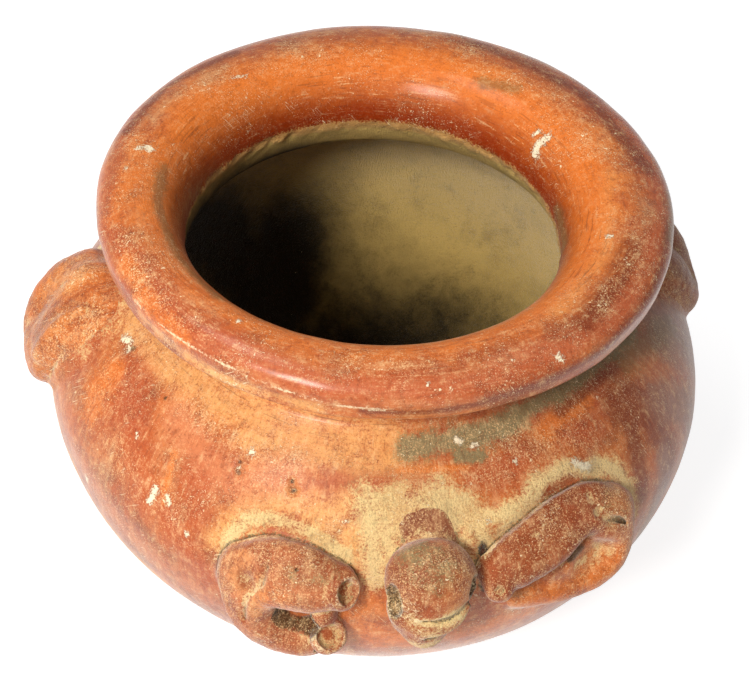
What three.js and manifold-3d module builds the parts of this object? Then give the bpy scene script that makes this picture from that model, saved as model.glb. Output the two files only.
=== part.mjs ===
import * as THREE from 'three';
import { mergeVertices } from 'three/addons/utils/BufferGeometryUtils.js';
import Module from 'manifold-3d';

const wasm = await Module();
wasm.setup();

// A small hand-built jar: a round body, a short neck with a thick everted lip, and the head and
// limbs of an animal laid on its shoulder. Millimetres, +Z up, the head faces -Y, and the origin
// is the middle of the flat face that the jar rests on.

// Body
const bellyRadius = 90; // outside, at the widest line
const bellyHeight = 60; // from the resting face up to the widest line
const footSink = 4.7; // how far below the resting face the lower curve would close
const lowerDepth = bellyHeight + footSink;
const lowerFullness = 2.26; // exponent of the lower curve, 2 is a plain ellipse
const shoulderDepth = 52.9; // widest line up to where the shoulder curve would close
const shoulderFullness = 1.88; // exponent of the shoulder curve
const wallThickness = 6.5;
const padThickness = 7; // clay pat under the floor
const padSeamHeight = 9; // where the pat meets the wall, outside
const seamBevel = 3.5; // how much higher a wall seam lies inside than outside
const lutingGap = 0.3; // slip-filled joint between two pieces of clay

// Neck and lip
const neckFootRadius = 62; // outside, where the neck rises out of the shoulder
const neckWaistDepth = 8; // how far the neck curve is pulled in between shoulder and lip
const neckWaistShare = 0.25; // where that pull is strongest, as a share of the neck's rise
const neckRise = 15.2; // neck foot up to the under edge of the lip
const lipRadius = 74.8;
const lipFace = 5.3; // height of the lip's outer face
const lipUndercut = 0.7; // how far the face leans in at its under edge
const lipCrown = 6.1; // outer edge of the lip up to its crest
const crestRadius = 62.3;
const throatRadius = 49.1;
const throatDepth = 16.4; // crest down to the narrowest ring of the mouth
const collarSeamRise = 6.5; // neck foot up to the seam between neck and lip, outside
const mouthSeam = 0.75; // the same seam inside, as a share of the way from crest to throat
const mouthShift = [-3.7, -3.7]; // the hand-pulled mouth stands off the body's middle, x and y
const mouthShiftRun = 7; // height on both sides of the neck foot over which that shift comes in

// Front limbs, as places on the wall: degrees from the head, and how far up the shoulder, where 0
// is the widest line and 1 is the foot of the neck
const leftArmPath = [[-14.2, 0.272], [-18.5, 0.286], [-23.5, 0.259], [-27, 0.15]];
const leftForearmPath = [[-28, 0], [-26, -0.163], [-21.5, -0.259], [-16, -0.177]];
const rightArmPath = [[11, 0.245], [16.5, 0.354], [23, 0.449], [29.5, 0.422]];
const rightForearmPath = [[33.5, 0.272], [32.5, 0.095], [27, -0.014], [21, -0.041], [17, -0.068]];
const leftArmWidth = 7.8; // half of the coil's width at its middle
const rightArmWidth = 6.8;
const forearmWidth = 5.4;
const elbowSwell = 1; // coil at the elbow, against its middle
const wristTaper = 0.76; // coil at the paw, against its middle
const armThickness = 6.4; // half of the coil's thickness, out from the wall
const forearmThickness = 5.6;
const armLift = 2.6; // coil's middle line above the wall

// Paws, pressed pellets with a reed mark
const pawRadius = 3.6;
const pawThickness = 2.6;
const pawFootShare = 0.7; // narrow inner end, against the paw's radius
const pawFaceShare = 0.85; // flat outer face
const pawShoulder = 0.4; // widest ring, inward of the middle, as a share of the thickness
const pawBrim = 0.15; // outer face, outward of the middle
const reedRadius = 2.2;
const reedTaper = 0.8; // bottom of the mark, against its mouth
const reedDepth = 1.1;
const pawLean = 48; // degrees that a paw turns outward from the end of its limb

// Hind limbs, each placed by hand, the right one higher. A third number lifts a place further off
// the wall, in thicknesses of the coil.
const leftThighPath = [[-87, 0.708], [-88.5, 0.49], [-89.5, 0.245]];
const leftShinPath = [
  [-100, 0.626, -0.06],
  [-98.5, 0.449, 0.06],
  [-96.5, 0.231, 0.15],
  [-90.5, 0.054, -0.15],
];
const rightThighPath = [[88, 0.926], [89.5, 0.708], [90.5, 0.463, -0.15]];
const rightShinPath = [
  [106, 0.98, 0.15],
  [102.5, 0.789, 0.18],
  [99, 0.531],
  [92, 0.34, -0.35],
];
const thighWidth = 8;
const thighThickness = 5.2;
const shinWidth = 6;
const shinThickness = 6.8;
const hindTaper = 0.8; // coil at both ends, against its middle
const hindLift = 2.6; // coil's middle line above the wall

// Head
const headAngle = 0.4; // degrees that the head stands off the jar's front line
const headClimb = 0.395; // how far up the shoulder
const headWidth = 10.6; // half sizes
const headLength = 10.6;
const headDepth = 9.6;
const headLift = 5;
const neckPath = [[1.2, 0.708], [0.8, 0.544], [0.4, 0.381]];
const neckWidth = 10;
const neckThickness = 6;
const muzzleWidth = 10; // half sizes
const muzzleLength = 7.8;
const muzzleDepth = 8.4;
const muzzleDrop = 9.4; // below the middle of the head
const muzzleLift = 1.4; // further out than the head
const lipBandPath = [
  [-4.8, 0.272, -1.26],
  [-2.5, 0.223, -0.42],
  [-0.2, 0.207],
  [2.3, 0.223, -0.42],
  [4.8, 0.283, -1.26],
];
const lipBandWidth = 1.9;
const lipBandThickness = 1.9;
const lipBandLift = 15.6;
const socketRadius = 2.6;
const socketSpread = 9.6; // each socket to the middle of the head
const socketDrop = 4.2; // sockets below the middle of the head
const socketLift = 4.4; // and further out than it

// Mesh steps
const turnSteps = 48; // round the jar
const wallRows = 7; // up one side of a wall piece
const rimRows = 6; // along each curve of the neck and lip
const coilSides = 10;
const coilRows = 8;
const capRows = 3;
const pawSides = 16;
const ballSides = 16;
const ballRows = 10;
const throatRows = 3;
const seamStep = 0.01; // step along the neck curve while its seam is looked for
const slopeStep = 0.5; // height on both sides of a place, for the wall's lean there

// Helpers for the body's outline. An inset of 0 is the outside, and a negative one lies beyond it.
function bowlSide(rise, inset) {
  const above = rise > 0;
  return {
    depth: (above ? shoulderDepth : lowerDepth) - inset,
    fullness: above ? shoulderFullness : lowerFullness,
  };
}

function bowlRadius(height, inset = 0) {
  const rise = height - bellyHeight;
  const { depth, fullness } = bowlSide(rise, inset);
  const share = Math.min(1, Math.abs(rise) / depth);
  return (bellyRadius - inset) * (1 - share ** fullness) ** (1 / fullness);
}

function shoulderHeight(radius, inset) {
  const share = radius / (bellyRadius - inset);
  const { depth, fullness } = bowlSide(1, inset);
  return bellyHeight + depth * (1 - share ** fullness) ** (1 / fullness);
}

function bowlAngle(height, inset) {
  const rise = height - bellyHeight;
  const { depth, fullness } = bowlSide(rise, inset);
  return Math.sign(rise) * Math.asin((Math.abs(rise) / depth) ** (fullness / 2));
}

function bowlPoint(angle, inset) {
  const { depth, fullness } = bowlSide(angle, inset);
  const rise = Math.sign(angle) * depth * Math.abs(Math.sin(angle)) ** (2 / fullness);
  const radius = (bellyRadius - inset) * Math.cos(angle) ** (2 / fullness);
  return new THREE.Vector2(radius, bellyHeight + rise);
}

function bowlCurve(fromHeight, toHeight, inset) {
  const from = bowlAngle(fromHeight, inset);
  const to = bowlAngle(toHeight, inset);
  const points = [];
  for (let row = 0; row <= wallRows; row += 1) {
    points.push(bowlPoint(THREE.MathUtils.lerp(from, to, row / wallRows), inset));
  }
  return points;
}

// Closed solids, joined and cut
function solid(geometry) {
  geometry.deleteAttribute('normal');
  geometry.deleteAttribute('uv');
  const merged = mergeVertices(geometry);
  const corners = [];
  for (let i = 0; i < merged.index.count; i += 3) {
    const [a, b, c] = [0, 1, 2].map((step) => merged.index.getX(i + step));
    if (a !== b && b !== c && c !== a) corners.push(a, b, c);
  }
  const vertProperties = new Float32Array(merged.attributes.position.array);
  const triVerts = new Uint32Array(corners);
  return new wasm.Manifold(new wasm.Mesh({ numProp: 3, vertProperties, triVerts }));
}

function meshOf(name, body, material) {
  const { vertProperties, triVerts } = body.getMesh();
  const geometry = new THREE.BufferGeometry();
  geometry.setAttribute('position', new THREE.BufferAttribute(new Float32Array(vertProperties), 3));
  geometry.setIndex(new THREE.BufferAttribute(new Uint32Array(triVerts), 1));
  geometry.computeVertexNormals();
  const mesh = new THREE.Mesh(geometry, material);
  mesh.name = name;
  return mesh;
}

// Turned shape, with the mouth moved off the middle while the lip's outer edge stays round
function lathe(profile) {
  const geometry = new THREE.LatheGeometry(profile, turnSteps);
  geometry.rotateX(Math.PI / 2);
  const corners = geometry.attributes.position;
  for (let i = 0; i < corners.count; i += 1) {
    const radius = Math.hypot(corners.getX(i), corners.getY(i));
    const reach = THREE.MathUtils.clamp((lipRadius - radius) / (lipRadius - throatRadius), 0, 1);
    const from = neckFootHeight - mouthShiftRun;
    const to = neckFootHeight + mouthShiftRun;
    const share = reach * THREE.MathUtils.smoothstep(corners.getZ(i), from, to);
    corners.setX(i, corners.getX(i) + mouthShift[0] * share);
    corners.setY(i, corners.getY(i) + mouthShift[1] * share);
  }
  return solid(geometry);
}

// Places on the wall
function onWall(angle, height, lift) {
  const turn = THREE.MathUtils.degToRad(angle - 90);
  const lean = (bowlRadius(height - slopeStep) - bowlRadius(height + slopeStep)) / (2 * slopeStep);
  const outward = new THREE.Vector3(Math.cos(turn), Math.sin(turn), lean).normalize();
  const radius = bowlRadius(height);
  const place = new THREE.Vector3(radius * Math.cos(turn), radius * Math.sin(turn), height);
  return { place: place.addScaledVector(outward, lift), outward };
}

function outwardAt(place) {
  const angle = THREE.MathUtils.radToDeg(Math.atan2(place.y, place.x)) + 90;
  return onWall(angle, place.z, 0).outward;
}

function bodyRing(outerFrom, outerTo) {
  const half = lutingGap / 2;
  const outer = bowlCurve(outerFrom + half, outerTo - half, 0);
  const inner = bowlCurve(outerFrom + seamBevel + half, outerTo + seamBevel - half, wallThickness);
  return [...outer, ...inner.reverse(), outer[0]];
}

const neckFootHeight = shoulderHeight(neckFootRadius, 0);
const neckFootInside = shoulderHeight(neckFootRadius - wallThickness - seamBevel, wallThickness);
const lipUnderHeight = neckFootHeight + neckRise;
const lipEdgeHeight = lipUnderHeight + lipFace;
const crestHeight = lipEdgeHeight + lipCrown;

function basePad() {
  const half = lutingGap / 2;
  const outer = bowlCurve(0, padSeamHeight - half, 0);
  const inner = bowlCurve(padThickness, padSeamHeight + seamBevel - half, wallThickness);
  const floor = new THREE.Vector2(0, padThickness);
  return lathe([new THREE.Vector2(0, 0), ...outer, ...inner.reverse(), floor]);
}

function lowerWall() {
  return lathe(bodyRing(padSeamHeight, bellyHeight));
}

function shoulderWall() {
  const half = lutingGap / 2;
  const outer = bowlCurve(bellyHeight + half, neckFootHeight - half, 0);
  const inner = bowlCurve(bellyHeight + seamBevel + half, neckFootInside - half, wallThickness);
  return lathe([...outer, ...inner.reverse(), outer[0]]);
}

// Outside of the neck, from the shoulder out to the under edge of the lip
function neckOutside() {
  const foot = new THREE.Vector2(neckFootRadius, neckFootHeight);
  const under = new THREE.Vector2(lipRadius - lipUndercut, lipUnderHeight);
  const waistHeight = neckFootHeight + neckRise * neckWaistShare;
  const waist = new THREE.Vector2(neckFootRadius - neckWaistDepth, waistHeight);
  const flare = new THREE.Vector2(neckFootRadius - lipUndercut, lipUnderHeight);
  return new THREE.CubicBezierCurve(foot, waist, flare, under);
}

// Inside of the mouth, from the crest of the lip down to the throat
function mouthPoint(share) {
  const turn = share * Math.PI / 2;
  const radius = crestRadius - (crestRadius - throatRadius) * Math.sin(turn);
  return new THREE.Vector2(radius, crestHeight - throatDepth * (1 - Math.cos(turn)));
}

// Top of the lip, from its outer edge in to the crest
function lipPoint(share) {
  const turn = share * Math.PI / 2;
  const radius = crestRadius + (lipRadius - crestRadius) * Math.cos(turn);
  return new THREE.Vector2(radius, lipEdgeHeight + lipCrown * Math.sin(turn));
}

function shareAtHeight(curve, height) {
  let share = 0;
  while (share < 1 && curve.getPoint(share).y < height) share += seamStep;
  return share;
}

function evenly(count, from, to, pointAt) {
  const points = [];
  for (let step = 0; step <= count; step += 1) {
    points.push(pointAt(THREE.MathUtils.lerp(from, to, step / count)));
  }
  return points;
}

function neckProfiles() {
  const half = lutingGap / 2;
  const outside = neckOutside();
  const seamHeight = neckFootHeight + collarSeamRise;
  const below = shareAtHeight(outside, seamHeight - half);
  const above = shareAtHeight(outside, seamHeight + half);
  const seamDrop = half / throatDepth;
  const foot = shareAtHeight(outside, neckFootHeight + half);
  const insideRadius = neckFootRadius - wallThickness - seamBevel;
  const insideFoot = new THREE.Vector2(insideRadius, neckFootInside + half);
  const collar = [
    ...evenly(rimRows, foot, below, (share) => outside.getPoint(share)),
    ...evenly(throatRows, mouthSeam + seamDrop, 1, mouthPoint),
    insideFoot,
  ];
  const lip = [
    ...evenly(rimRows, above, 1, (share) => outside.getPoint(share)),
    ...evenly(rimRows, 0, 1, lipPoint),
    ...evenly(rimRows, 0, mouthSeam - seamDrop, mouthPoint).slice(1),
  ];
  return { collar: [...collar, collar[0]], lip: [...lip, lip[0]] };
}

// The whole body as one solid, a joint's gap larger, that cuts the foot of whatever is laid on it
function wallCore() {
  const lower = bowlCurve(0, bellyHeight, -lutingGap);
  const upper = bowlCurve(bellyHeight, neckFootHeight, -lutingGap);
  const neck = evenly(rimRows, 0, 1, (share) => neckOutside().getPoint(share));
  neck.forEach((point) => point.setX(point.x + lutingGap));
  const top = new THREE.Vector2(0, lipUnderHeight);
  return lathe([new THREE.Vector2(0, 0), ...lower, ...upper.slice(1, -1), ...neck, top]);
}

function heightAt(climb) {
  return THREE.MathUtils.lerp(bellyHeight, neckFootHeight, climb);
}

// Middle line of a coil
function coilLine({ path, thickness, lift }) {
  const places = path.map(([angle, climb, extra = 0]) => {
    return onWall(angle, heightAt(climb), lift + extra * thickness).place;
  });
  return new THREE.CatmullRomCurve3(places);
}

// How thick a coil is at a share of its length, against its middle, from its two end shares
function swellAt([start, end], along) {
  const nearEnd = along < 0.5 ? start : end;
  return nearEnd + (1 - nearEnd) * Math.sin(along * Math.PI);
}

// A coil of clay laid along a path on the wall, round at both ends, and wider or flatter as given
function coil({ path, width, thickness, lift, ends = [hindTaper, hindTaper] }, grow = 0) {
  const curve = coilLine({ path, thickness, lift });
  const geometry = new THREE.CapsuleGeometry(1, 1, capRows, coilSides, coilRows);
  const corners = geometry.attributes.position;
  for (let i = 0; i < corners.count; i += 1) {
    const along = THREE.MathUtils.clamp(corners.getY(i) + 0.5, 0, 1);
    const beyond = corners.getY(i) + 0.5 - along;
    const swell = swellAt(ends, along);
    const halfWidth = width * swell + grow;
    const halfThickness = thickness * swell + grow;
    const centre = curve.getPoint(along);
    const tangent = curve.getTangent(along);
    const side = new THREE.Vector3().crossVectors(tangent, outwardAt(centre)).normalize();
    const outward = new THREE.Vector3().crossVectors(side, tangent);
    centre.addScaledVector(tangent, beyond * halfWidth);
    centre.addScaledVector(side, corners.getX(i) * halfWidth);
    centre.addScaledVector(outward, corners.getZ(i) * halfThickness);
    corners.setXYZ(i, centre.x, centre.y, centre.z);
  }
  return solid(geometry);
}

function ball(angle, height, lift, [across, along, out], grow = 0) {
  const { place, outward } = onWall(angle, height, lift);
  const geometry = new THREE.SphereGeometry(1, ballSides, ballRows);
  geometry.scale(across + grow, along + grow, out + grow);
  const side = new THREE.Vector3(0, 0, 1).cross(outward).normalize();
  const up = new THREE.Vector3().crossVectors(outward, side);
  geometry.applyMatrix4(new THREE.Matrix4().makeBasis(side, up, outward).setPosition(place));
  return solid(geometry);
}

// A pressed pellet on the end of a coil, with a round reed mark in its face. The grown one is the
// seat that it leaves in the coil, so it has no mark and runs on out of the clay.
function paw({ path, width, thickness, lift }, atStart, grow = 0) {
  const curve = coilLine({ path, thickness, lift });
  const end = curve.getPoint(atStart ? 0 : 1);
  const away = curve.getTangent(atStart ? 0 : 1).multiplyScalar(atStart ? -1 : 1);
  const outward = outwardAt(end);
  const lean = THREE.MathUtils.degToRad(pawLean);
  const face = away.clone().multiplyScalar(Math.cos(lean)).addScaledVector(outward, Math.sin(lean));
  face.normalize();
  end.addScaledVector(away, Math.cos(lean) * width * wristTaper);
  end.addScaledVector(outward, Math.sin(lean) * thickness * wristTaper);
  const brim = pawThickness * pawBrim;
  const outline = [
    [0, -pawThickness - grow],
    [pawRadius * pawFootShare + grow, -pawThickness - grow],
    [pawRadius + grow, -pawThickness * pawShoulder],
  ];
  const mark = [
    [pawRadius * pawFaceShare, brim],
    [reedRadius, brim],
    [reedRadius * reedTaper, brim - reedDepth],
    [0, brim - reedDepth],
  ];
  const seatReach = 2 * pawThickness;
  const seat = [[pawRadius + grow, seatReach], [0, seatReach]];
  const profile = [...outline, ...(grow > 0 ? seat : mark)].map(([x, y]) => new THREE.Vector2(x, y));
  const geometry = new THREE.LatheGeometry(profile, pawSides);
  const turn = new THREE.Quaternion().setFromUnitVectors(new THREE.Vector3(0, 1, 0), face);
  geometry.applyQuaternion(turn);
  geometry.translate(end.x, end.y, end.z);
  return solid(geometry);
}

function cutAll(body, cutters) {
  return cutters.reduce((rest, cutter) => rest.subtract(cutter), body);
}

const clay = {
  wall: new THREE.MeshStandardMaterial({ color: 0xb4582f, roughness: 0.55, metalness: 0 }),
  shoulder: new THREE.MeshStandardMaterial({ color: 0xc0673a, roughness: 0.6, metalness: 0 }),
  rim: new THREE.MeshStandardMaterial({ color: 0xa84a28, roughness: 0.42, metalness: 0 }),
  base: new THREE.MeshStandardMaterial({ color: 0xa6623e, roughness: 0.75, metalness: 0 }),
  relief: new THREE.MeshStandardMaterial({ color: 0xa9573a, roughness: 0.65, metalness: 0 }),
  earth: new THREE.MeshStandardMaterial({ color: 0xc69a5c, roughness: 0.85, metalness: 0 }),
};

const jar = new THREE.Group();

// Body, neck and lip
function addBody() {
  const { collar, lip } = neckProfiles();
  jar.add(meshOf('base_pad', basePad(), clay.base));
  jar.add(meshOf('lower_wall', lowerWall(), clay.wall));
  jar.add(meshOf('shoulder_wall', shoulderWall(), clay.shoulder));
  jar.add(meshOf('neck_collar', lathe(collar), clay.rim));
  jar.add(meshOf('rim_lip', lathe(lip), clay.rim));
}

// One front limb: an arm and a forearm that meet at the elbow, with a paw on each open end
function addFrontLimb(side, arm, forearm, core, lowerPaw) {
  const upperPaw = paw(arm, true);
  const cutters = [core, paw(arm, true, lutingGap)];
  const lowerCutters = [core, coil(arm, lutingGap)];
  if (lowerPaw) {
    lowerCutters.push(paw(forearm, false, lutingGap));
    jar.add(meshOf(`front_${side}_lower_paw`, cutAll(paw(forearm, false), [core]), clay.relief));
  }
  jar.add(meshOf(`front_${side}_arm`, cutAll(coil(arm), cutters), clay.relief));
  jar.add(meshOf(`front_${side}_forearm`, cutAll(coil(forearm), lowerCutters), clay.relief));
  jar.add(meshOf(`front_${side}_paw`, cutAll(upperPaw, [core]), clay.relief));
}

// One hind limb: a broad thigh with the shin folded round behind it
function addHindLimb(side, thighPath, shinPath, core) {
  const thigh = { path: thighPath, width: thighWidth, thickness: thighThickness, lift: hindLift };
  const shin = { path: shinPath, width: shinWidth, thickness: shinThickness, lift: hindLift };
  jar.add(meshOf(`hind_${side}_thigh`, cutAll(coil(thigh), [core]), clay.relief));
  jar.add(meshOf(`hind_${side}_shin`, cutAll(coil(shin), [core, coil(thigh, lutingGap)]), clay.relief));
}

// Neck, head, muzzle and lip of the animal
function addHead(core) {
  const headHeight = heightAt(headClimb);
  const headSize = [headWidth, headLength, headDepth];
  const headAt = (grow) => ball(headAngle, headHeight, headLift, headSize, grow);
  const muzzleSize = [muzzleWidth, muzzleLength, muzzleDepth];
  const muzzleHeight = headHeight - muzzleDrop;
  const muzzleOut = headLift + muzzleLift;
  const muzzleAt = (grow) => ball(headAngle, muzzleHeight, muzzleOut, muzzleSize, grow);
  const neck = { path: neckPath, width: neckWidth, thickness: neckThickness, lift: 0 };
  const lipSize = { width: lipBandWidth, thickness: lipBandThickness };
  const lipBand = { path: lipBandPath, ...lipSize, lift: lipBandLift };
  const spread = THREE.MathUtils.radToDeg(socketSpread / bellyRadius);
  const socketHeight = headHeight - socketDrop;
  const socketOut = headLift + socketLift;
  const socketSize = [socketRadius, socketRadius, socketRadius];
  const socket = (turn) => ball(headAngle + turn * spread, socketHeight, socketOut, socketSize);
  const headGap = headAt(lutingGap);
  jar.add(meshOf('effigy_neck', cutAll(coil(neck), [core, headGap]), clay.earth));
  jar.add(meshOf('effigy_head', cutAll(headAt(0), [core, socket(-1), socket(1)]), clay.relief));
  jar.add(meshOf('effigy_muzzle', cutAll(muzzleAt(0), [core, headGap]), clay.relief));
  jar.add(meshOf('effigy_lip', cutAll(coil(lipBand), [headGap, muzzleAt(lutingGap)]), clay.relief));
}

// An arm runs from its paw to the elbow, and a forearm from the elbow to its paw
function armCoil(path, width) {
  const ends = [wristTaper, elbowSwell];
  return { path, width, thickness: armThickness, lift: armLift, ends };
}

function forearmCoil(path) {
  const ends = [elbowSwell, wristTaper];
  return { path, width: forearmWidth, thickness: forearmThickness, lift: armLift, ends };
}

const core = wallCore();
addBody();
addHead(core);
addFrontLimb('left', armCoil(leftArmPath, leftArmWidth), forearmCoil(leftForearmPath), core, true);
addFrontLimb('right', armCoil(rightArmPath, rightArmWidth), forearmCoil(rightForearmPath), core, false);
addHindLimb('left', leftThighPath, leftShinPath, core);
addHindLimb('right', rightThighPath, rightShinPath, core);

export default jar;
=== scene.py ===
import math

import bpy
import numpy as np
from mathutils import Matrix, Vector


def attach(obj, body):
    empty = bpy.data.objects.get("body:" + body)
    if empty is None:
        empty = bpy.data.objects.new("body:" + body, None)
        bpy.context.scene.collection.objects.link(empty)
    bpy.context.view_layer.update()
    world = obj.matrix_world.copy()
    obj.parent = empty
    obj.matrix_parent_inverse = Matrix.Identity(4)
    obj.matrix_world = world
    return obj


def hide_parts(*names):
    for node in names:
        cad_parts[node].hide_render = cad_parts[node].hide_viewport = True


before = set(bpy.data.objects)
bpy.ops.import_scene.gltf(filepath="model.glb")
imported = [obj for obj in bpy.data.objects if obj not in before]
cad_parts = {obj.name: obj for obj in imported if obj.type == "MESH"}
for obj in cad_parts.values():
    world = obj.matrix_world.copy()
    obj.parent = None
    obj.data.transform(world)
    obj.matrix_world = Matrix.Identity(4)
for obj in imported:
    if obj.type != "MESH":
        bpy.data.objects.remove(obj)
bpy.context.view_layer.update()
print("frame loaded")

# Clay is worked out in millimetres, in the frame of the jar: +Z up, the animal's head faces -Y
metre = 0.001

jar = {
    "bellyRadius": 90,  # outside, at the widest line
    "bellyHeight": 60,
    "footSink": 4.7,  # how far below the rest the lower curve would close
    "lowerFullness": 2.26,
    "shoulderDepth": 52.9,
    "shoulderFullness": 1.88,
    "wall": 6.5,
    "padThickness": 7,
    "padSeam": 9,
    "seamBevel": 3.5,
    "neckFootRadius": 62,
    "neckWaistDepth": 8,
    "neckWaistShare": 0.25,
    "neckRise": 15.2,
    "lipRadius": 74.8,
    "lipFace": 5.3,
    "lipUndercut": 0.7,
    "lipCrown": 6.1,
    "crestRadius": 62.3,
    "throatRadius": 49.1,
    "throatDepth": 16.4,
    "collarSeamRise": 6.5,
    "mouthSeam": 0.75,
    "mouthShift": (-3.7, -3.7),
    "mouthShiftRun": 7,
}


def smoothStep(value, low, high):
    share = np.clip((value - low) / (high - low), 0, 1)
    return share * share * (3 - 2 * share)


def hill(value, width):
    return np.exp(-((value / width) ** 2))


# Lumps for hand-worked clay, from -1 to 1 and about size mm apart, the same in every run
lumpTable = np.random.default_rng(11).random(4096) * 2 - 1


def lumps(points, size, shift):
    grid = points / size + shift * 17.31
    cell = np.floor(grid).astype(np.int64)
    part = grid - cell
    fade = part**3 * (part * (part * 6 - 15) + 10)
    total = 0
    for corner in range(8):
        step = [corner & 1, corner >> 1 & 1, corner >> 2 & 1]
        key = sum((cell[..., i] + step[i]) * prime for i, prime in enumerate((73856093, 19349663, 83492791)))
        weight = 1
        for i in range(3):
            weight = weight * (fade[..., i] if step[i] else 1 - fade[..., i])
        total = total + lumpTable[key % 4096] * weight
    return total


# The jar's whole section as one line: out along the foot, up the outside, over the lip, down the
# inside and back to the middle of the floor. A place on it is its run, mm along that line.
sectionStep = 0.2
smoothing = {"edges": 0.8, "neckFoot": 2.6}  # mm, how far the section's corners melt


def bowlLine(fromHeight, toHeight, inset):
    belly, count = jar["bellyHeight"], 400
    turns = []
    for height in (fromHeight, toHeight):
        rise = height - belly
        depth, fullness = bowlSide(rise, inset)
        turns.append(math.copysign(math.asin((abs(rise) / depth) ** (fullness / 2)), rise))
    turn = np.linspace(*turns, count)
    line = []
    for t in turn:
        depth, fullness = bowlSide(t, inset)
        rise = math.copysign(depth * abs(math.sin(t)) ** (2 / fullness), t)
        line.append(((jar["bellyRadius"] - inset) * math.cos(t) ** (2 / fullness), belly + rise))
    return line


def bowlSide(rise, inset):
    above = rise > 0
    depth = jar["shoulderDepth"] if above else jar["bellyHeight"] + jar["footSink"]
    return depth - inset, jar["shoulderFullness"] if above else jar["lowerFullness"]


def shoulderHeight(radius, inset):
    depth, fullness = bowlSide(1, inset)
    share = radius / (jar["bellyRadius"] - inset)
    return jar["bellyHeight"] + depth * (1 - share**fullness) ** (1 / fullness)


def bezier(points, count):
    share = np.linspace(0, 1, count)[:, None]
    weights = [(1 - share) ** 3, 3 * share * (1 - share) ** 2, 3 * share**2 * (1 - share), share**3]
    return [tuple(p) for p in sum(w * np.array(point) for w, point in zip(weights, points))]


def sectionLine():
    foot = shoulderHeight(jar["neckFootRadius"], 0)
    under = foot + jar["neckRise"]
    edge = under + jar["lipFace"]
    crest = edge + jar["lipCrown"]
    insideRadius = jar["neckFootRadius"] - jar["wall"] - jar["seamBevel"]
    insideFoot = shoulderHeight(insideRadius, jar["wall"])
    waistRadius = jar["neckFootRadius"] - jar["neckWaistDepth"]
    neck = [
        (jar["neckFootRadius"], foot),
        (waistRadius, foot + jar["neckRise"] * jar["neckWaistShare"]),
        (jar["neckFootRadius"] - jar["lipUndercut"], under),
        (jar["lipRadius"] - jar["lipUndercut"], under),
    ]
    turn = np.linspace(0, math.pi / 2, 120)
    crown = jar["lipRadius"] - jar["crestRadius"]
    lip = list(zip(jar["crestRadius"] + crown * np.cos(turn), edge + jar["lipCrown"] * np.sin(turn)))
    pull = jar["crestRadius"] - jar["throatRadius"]
    mouthHeight = crest - jar["throatDepth"] * (1 - np.cos(turn))
    mouth = list(zip(jar["crestRadius"] - pull * np.sin(turn), mouthHeight))
    runs = [
        ("foot", [(0, 0)]),
        ("wall", bowlLine(0, foot, 0)),
        ("neck", bezier(neck, 120)),
        ("lip", lip),
        ("mouth", mouth),
        ("inside", bowlLine(insideFoot, jar["padThickness"], jar["wall"])),
        ("floor", [(0, jar["padThickness"])]),
    ]
    marks, points = {}, []
    for name, line in runs:
        marks[name] = len(points)
        points += line
    points = np.array(points, float)
    along = np.concatenate([[0], np.cumsum(np.hypot(*np.diff(points, axis=0).T))])
    marks = {name: along[index] for name, index in marks.items()}
    run = np.arange(0, along[-1], sectionStep)
    even = np.stack([np.interp(run, along, points[:, i]) for i in (0, 1)], -1)
    soft = softened(even, smoothing["edges"])
    melt = softened(even, smoothing["neckFoot"])
    nearFoot = sum(hill(run - marks[name], 5) for name in ("neck", "inside"))
    soft += (melt - soft) * nearFoot[:, None]
    soft[run < marks["wall"] - 3, 1] = 0
    return run, soft, marks


def softened(line, width):
    side = 60  # steps of the section to each side
    reach = np.arange(-side, side + 1) * sectionStep
    weight = np.exp(-((reach / width) ** 2) / 2)
    weight /= weight.sum()
    ends = np.pad(line, ((side, side), (0, 0)), mode="reflect", reflect_type="odd")
    return np.stack([np.convolve(ends[:, i], weight, mode="valid") for i in (0, 1)], -1)


sectionRun, section, marks = sectionLine()
sectionSlope = np.gradient(section, sectionRun, axis=0)
sectionSlope /= np.linalg.norm(sectionSlope, axis=1)[:, None]


def runAtHeight(height, fromRun, toRun):
    inside = (sectionRun >= fromRun) & (sectionRun <= toRun)
    heights, runs = section[inside, 1], sectionRun[inside]
    way = 1 if heights[-1] > heights[0] else -1
    return float(np.interp(way * height, way * heights, runs))


marks["padSeam"] = runAtHeight(jar["padSeam"], marks["wall"], marks["neck"])
marks["belly"] = runAtHeight(jar["bellyHeight"], marks["wall"], marks["neck"])
neckFoot = shoulderHeight(jar["neckFootRadius"], 0)
marks["collarSeam"] = runAtHeight(neckFoot + jar["collarSeamRise"], marks["neck"], marks["lip"])
mouthSeamDrop = jar["throatDepth"] * (1 - math.cos(jar["mouthSeam"] * math.pi / 2))
crestHeight = neckFoot + jar["neckRise"] + jar["lipFace"] + jar["lipCrown"]
marks["mouthSeam"] = runAtHeight(crestHeight - mouthSeamDrop, marks["mouth"], marks["inside"])
marks["throat"] = runAtHeight(crestHeight - jar["throatDepth"], marks["mouth"], marks["inside"])
marks["innerBelly"] = runAtHeight(jar["bellyHeight"] + jar["seamBevel"], marks["inside"], marks["floor"])
marks["innerPad"] = runAtHeight(jar["padSeam"] + jar["seamBevel"], marks["inside"], marks["floor"])
marks["end"] = sectionRun[-1]


def atRun(run):
    radius, height = (np.interp(run, sectionRun, section[:, i]) for i in (0, 1))
    slopeOut, slopeUp = (np.interp(run, sectionRun, sectionSlope[:, i]) for i in (0, 1))
    return radius, height, slopeUp, -slopeOut


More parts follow.
